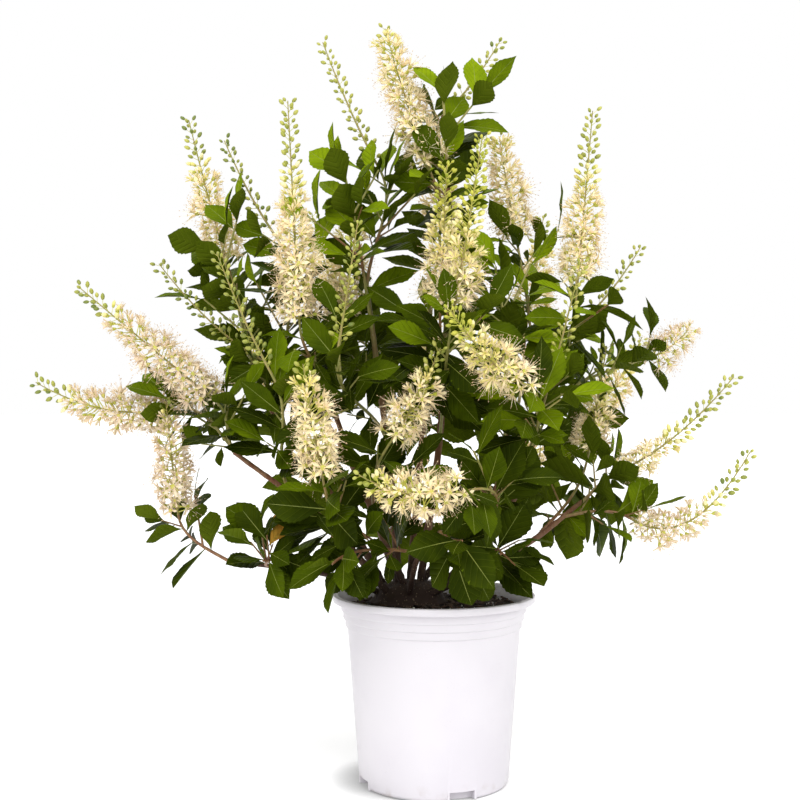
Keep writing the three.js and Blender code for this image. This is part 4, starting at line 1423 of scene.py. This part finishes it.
buds, opening_buds = Heap(), Heap()
for state in (GREEN_BUD, OLIVE_BUD, LIME_BUD):
    buds.add_copies(recoloured(BUD, state), bud_copies[state])
buds.piece("buds", [soft["bud_green"], soft["bud_olive"], soft["bud_lime"]],
           60, "foliage", *MASS_NAMES)
opening_buds.add_copies(LATE_BUD, bud_copies[OPENING_BUD])
opening_buds.piece("opening_buds", [soft["cup_green"], soft["petal_opening"]],
                   60, "foliage", *MASS_NAMES)


# THE STUDIO
# A plain pale floor under soft white light from above, in front and both sides, and the
# camera level with the middle of the plant.

start_clean()
bpy.ops.mesh.primitive_plane_add(size=60, location=(0, 0, -0.0005))
floor = bpy.context.object
floor.name = "floor"
settle(floor)
# A contact shadow is painted into the floor's colour close to the pot's foot, most on its left
pale, tree, shader = finish("pale_floor")
wash = use(tree, mottle, Scale=0.6, Low=0.3, High=0.7)["Mask"]
ground = blend(tree, wash, (0.90, 0.90, 0.90), (0.885, 0.885, 0.885))
rightward = node(tree, "CombineXYZ", enumerate((0.85, -0.2, 0.5)))[0]
painted_contact_shadow = node(tree, "AmbientOcclusion", {"Distance": 0.042, "Normal": rightward})["AO"]
feed(tree, shader, {
    "Base Color": blend(tree, ramp(tree, painted_contact_shadow, 0.25, 0.98), (0.30, 0.30, 0.30), ground),
    "Roughness": 0.9, "Emission Strength": 0.18})
floor.data.materials.append(pale)

# The camera sees a white backdrop, brighter than the light that comes from all round
world = bpy.data.worlds.new("studio")
world.use_nodes = True
tree = world.node_tree
feed(tree, tree.nodes["Background"], {"Color": (1, 1, 1, 1), "Strength": 0.6})
feed(tree, tree.nodes["World Output"], {"Surface": node(tree, "MixShader", {
    0: node(tree, "LightPath")["Is Camera Ray"],
    1: tree.nodes["Background"].outputs[0],
    2: node(tree, "Background", {"Color": (1, 1, 1, 1)})[0]})[0]})
bpy.context.scene.world = world

for name, way, softness, strength in (
        ("key", (0.3, 1.0, -1.0), 60, 2.1), ("fill", (-1.0, 0.75, -0.8), 30, 0.9),
        ("back", (0.2, -1.0, -1.3), 60, 0.7)):
    light = bpy.data.lights.new(name, "SUN")
    light.angle = math.radians(softness)
    light.energy = strength
    lamp = bpy.data.objects.new(name, light)
    bpy.context.scene.collection.objects.link(lamp)
    aim = unit(np.array(way))
    lamp.location = -3 * aim
    lamp.rotation_euler = (
        math.acos(-aim[2]), 0, math.atan2(aim[1], aim[0]) - math.pi / 2)

camera_data = bpy.data.cameras.new("camera")
camera_data.sensor_width = 36
camera_data.lens = 57.33
camera_data.clip_start = 0.05
camera = bpy.data.objects.new("camera", camera_data)
camera.location = (-0.0344, -1.3, 0.387)
camera.rotation_euler = (math.radians(90), 0, 0)
bpy.context.scene.collection.objects.link(camera)
bpy.context.scene.camera = camera
bpy.context.scene.view_settings.view_transform = "Standard"
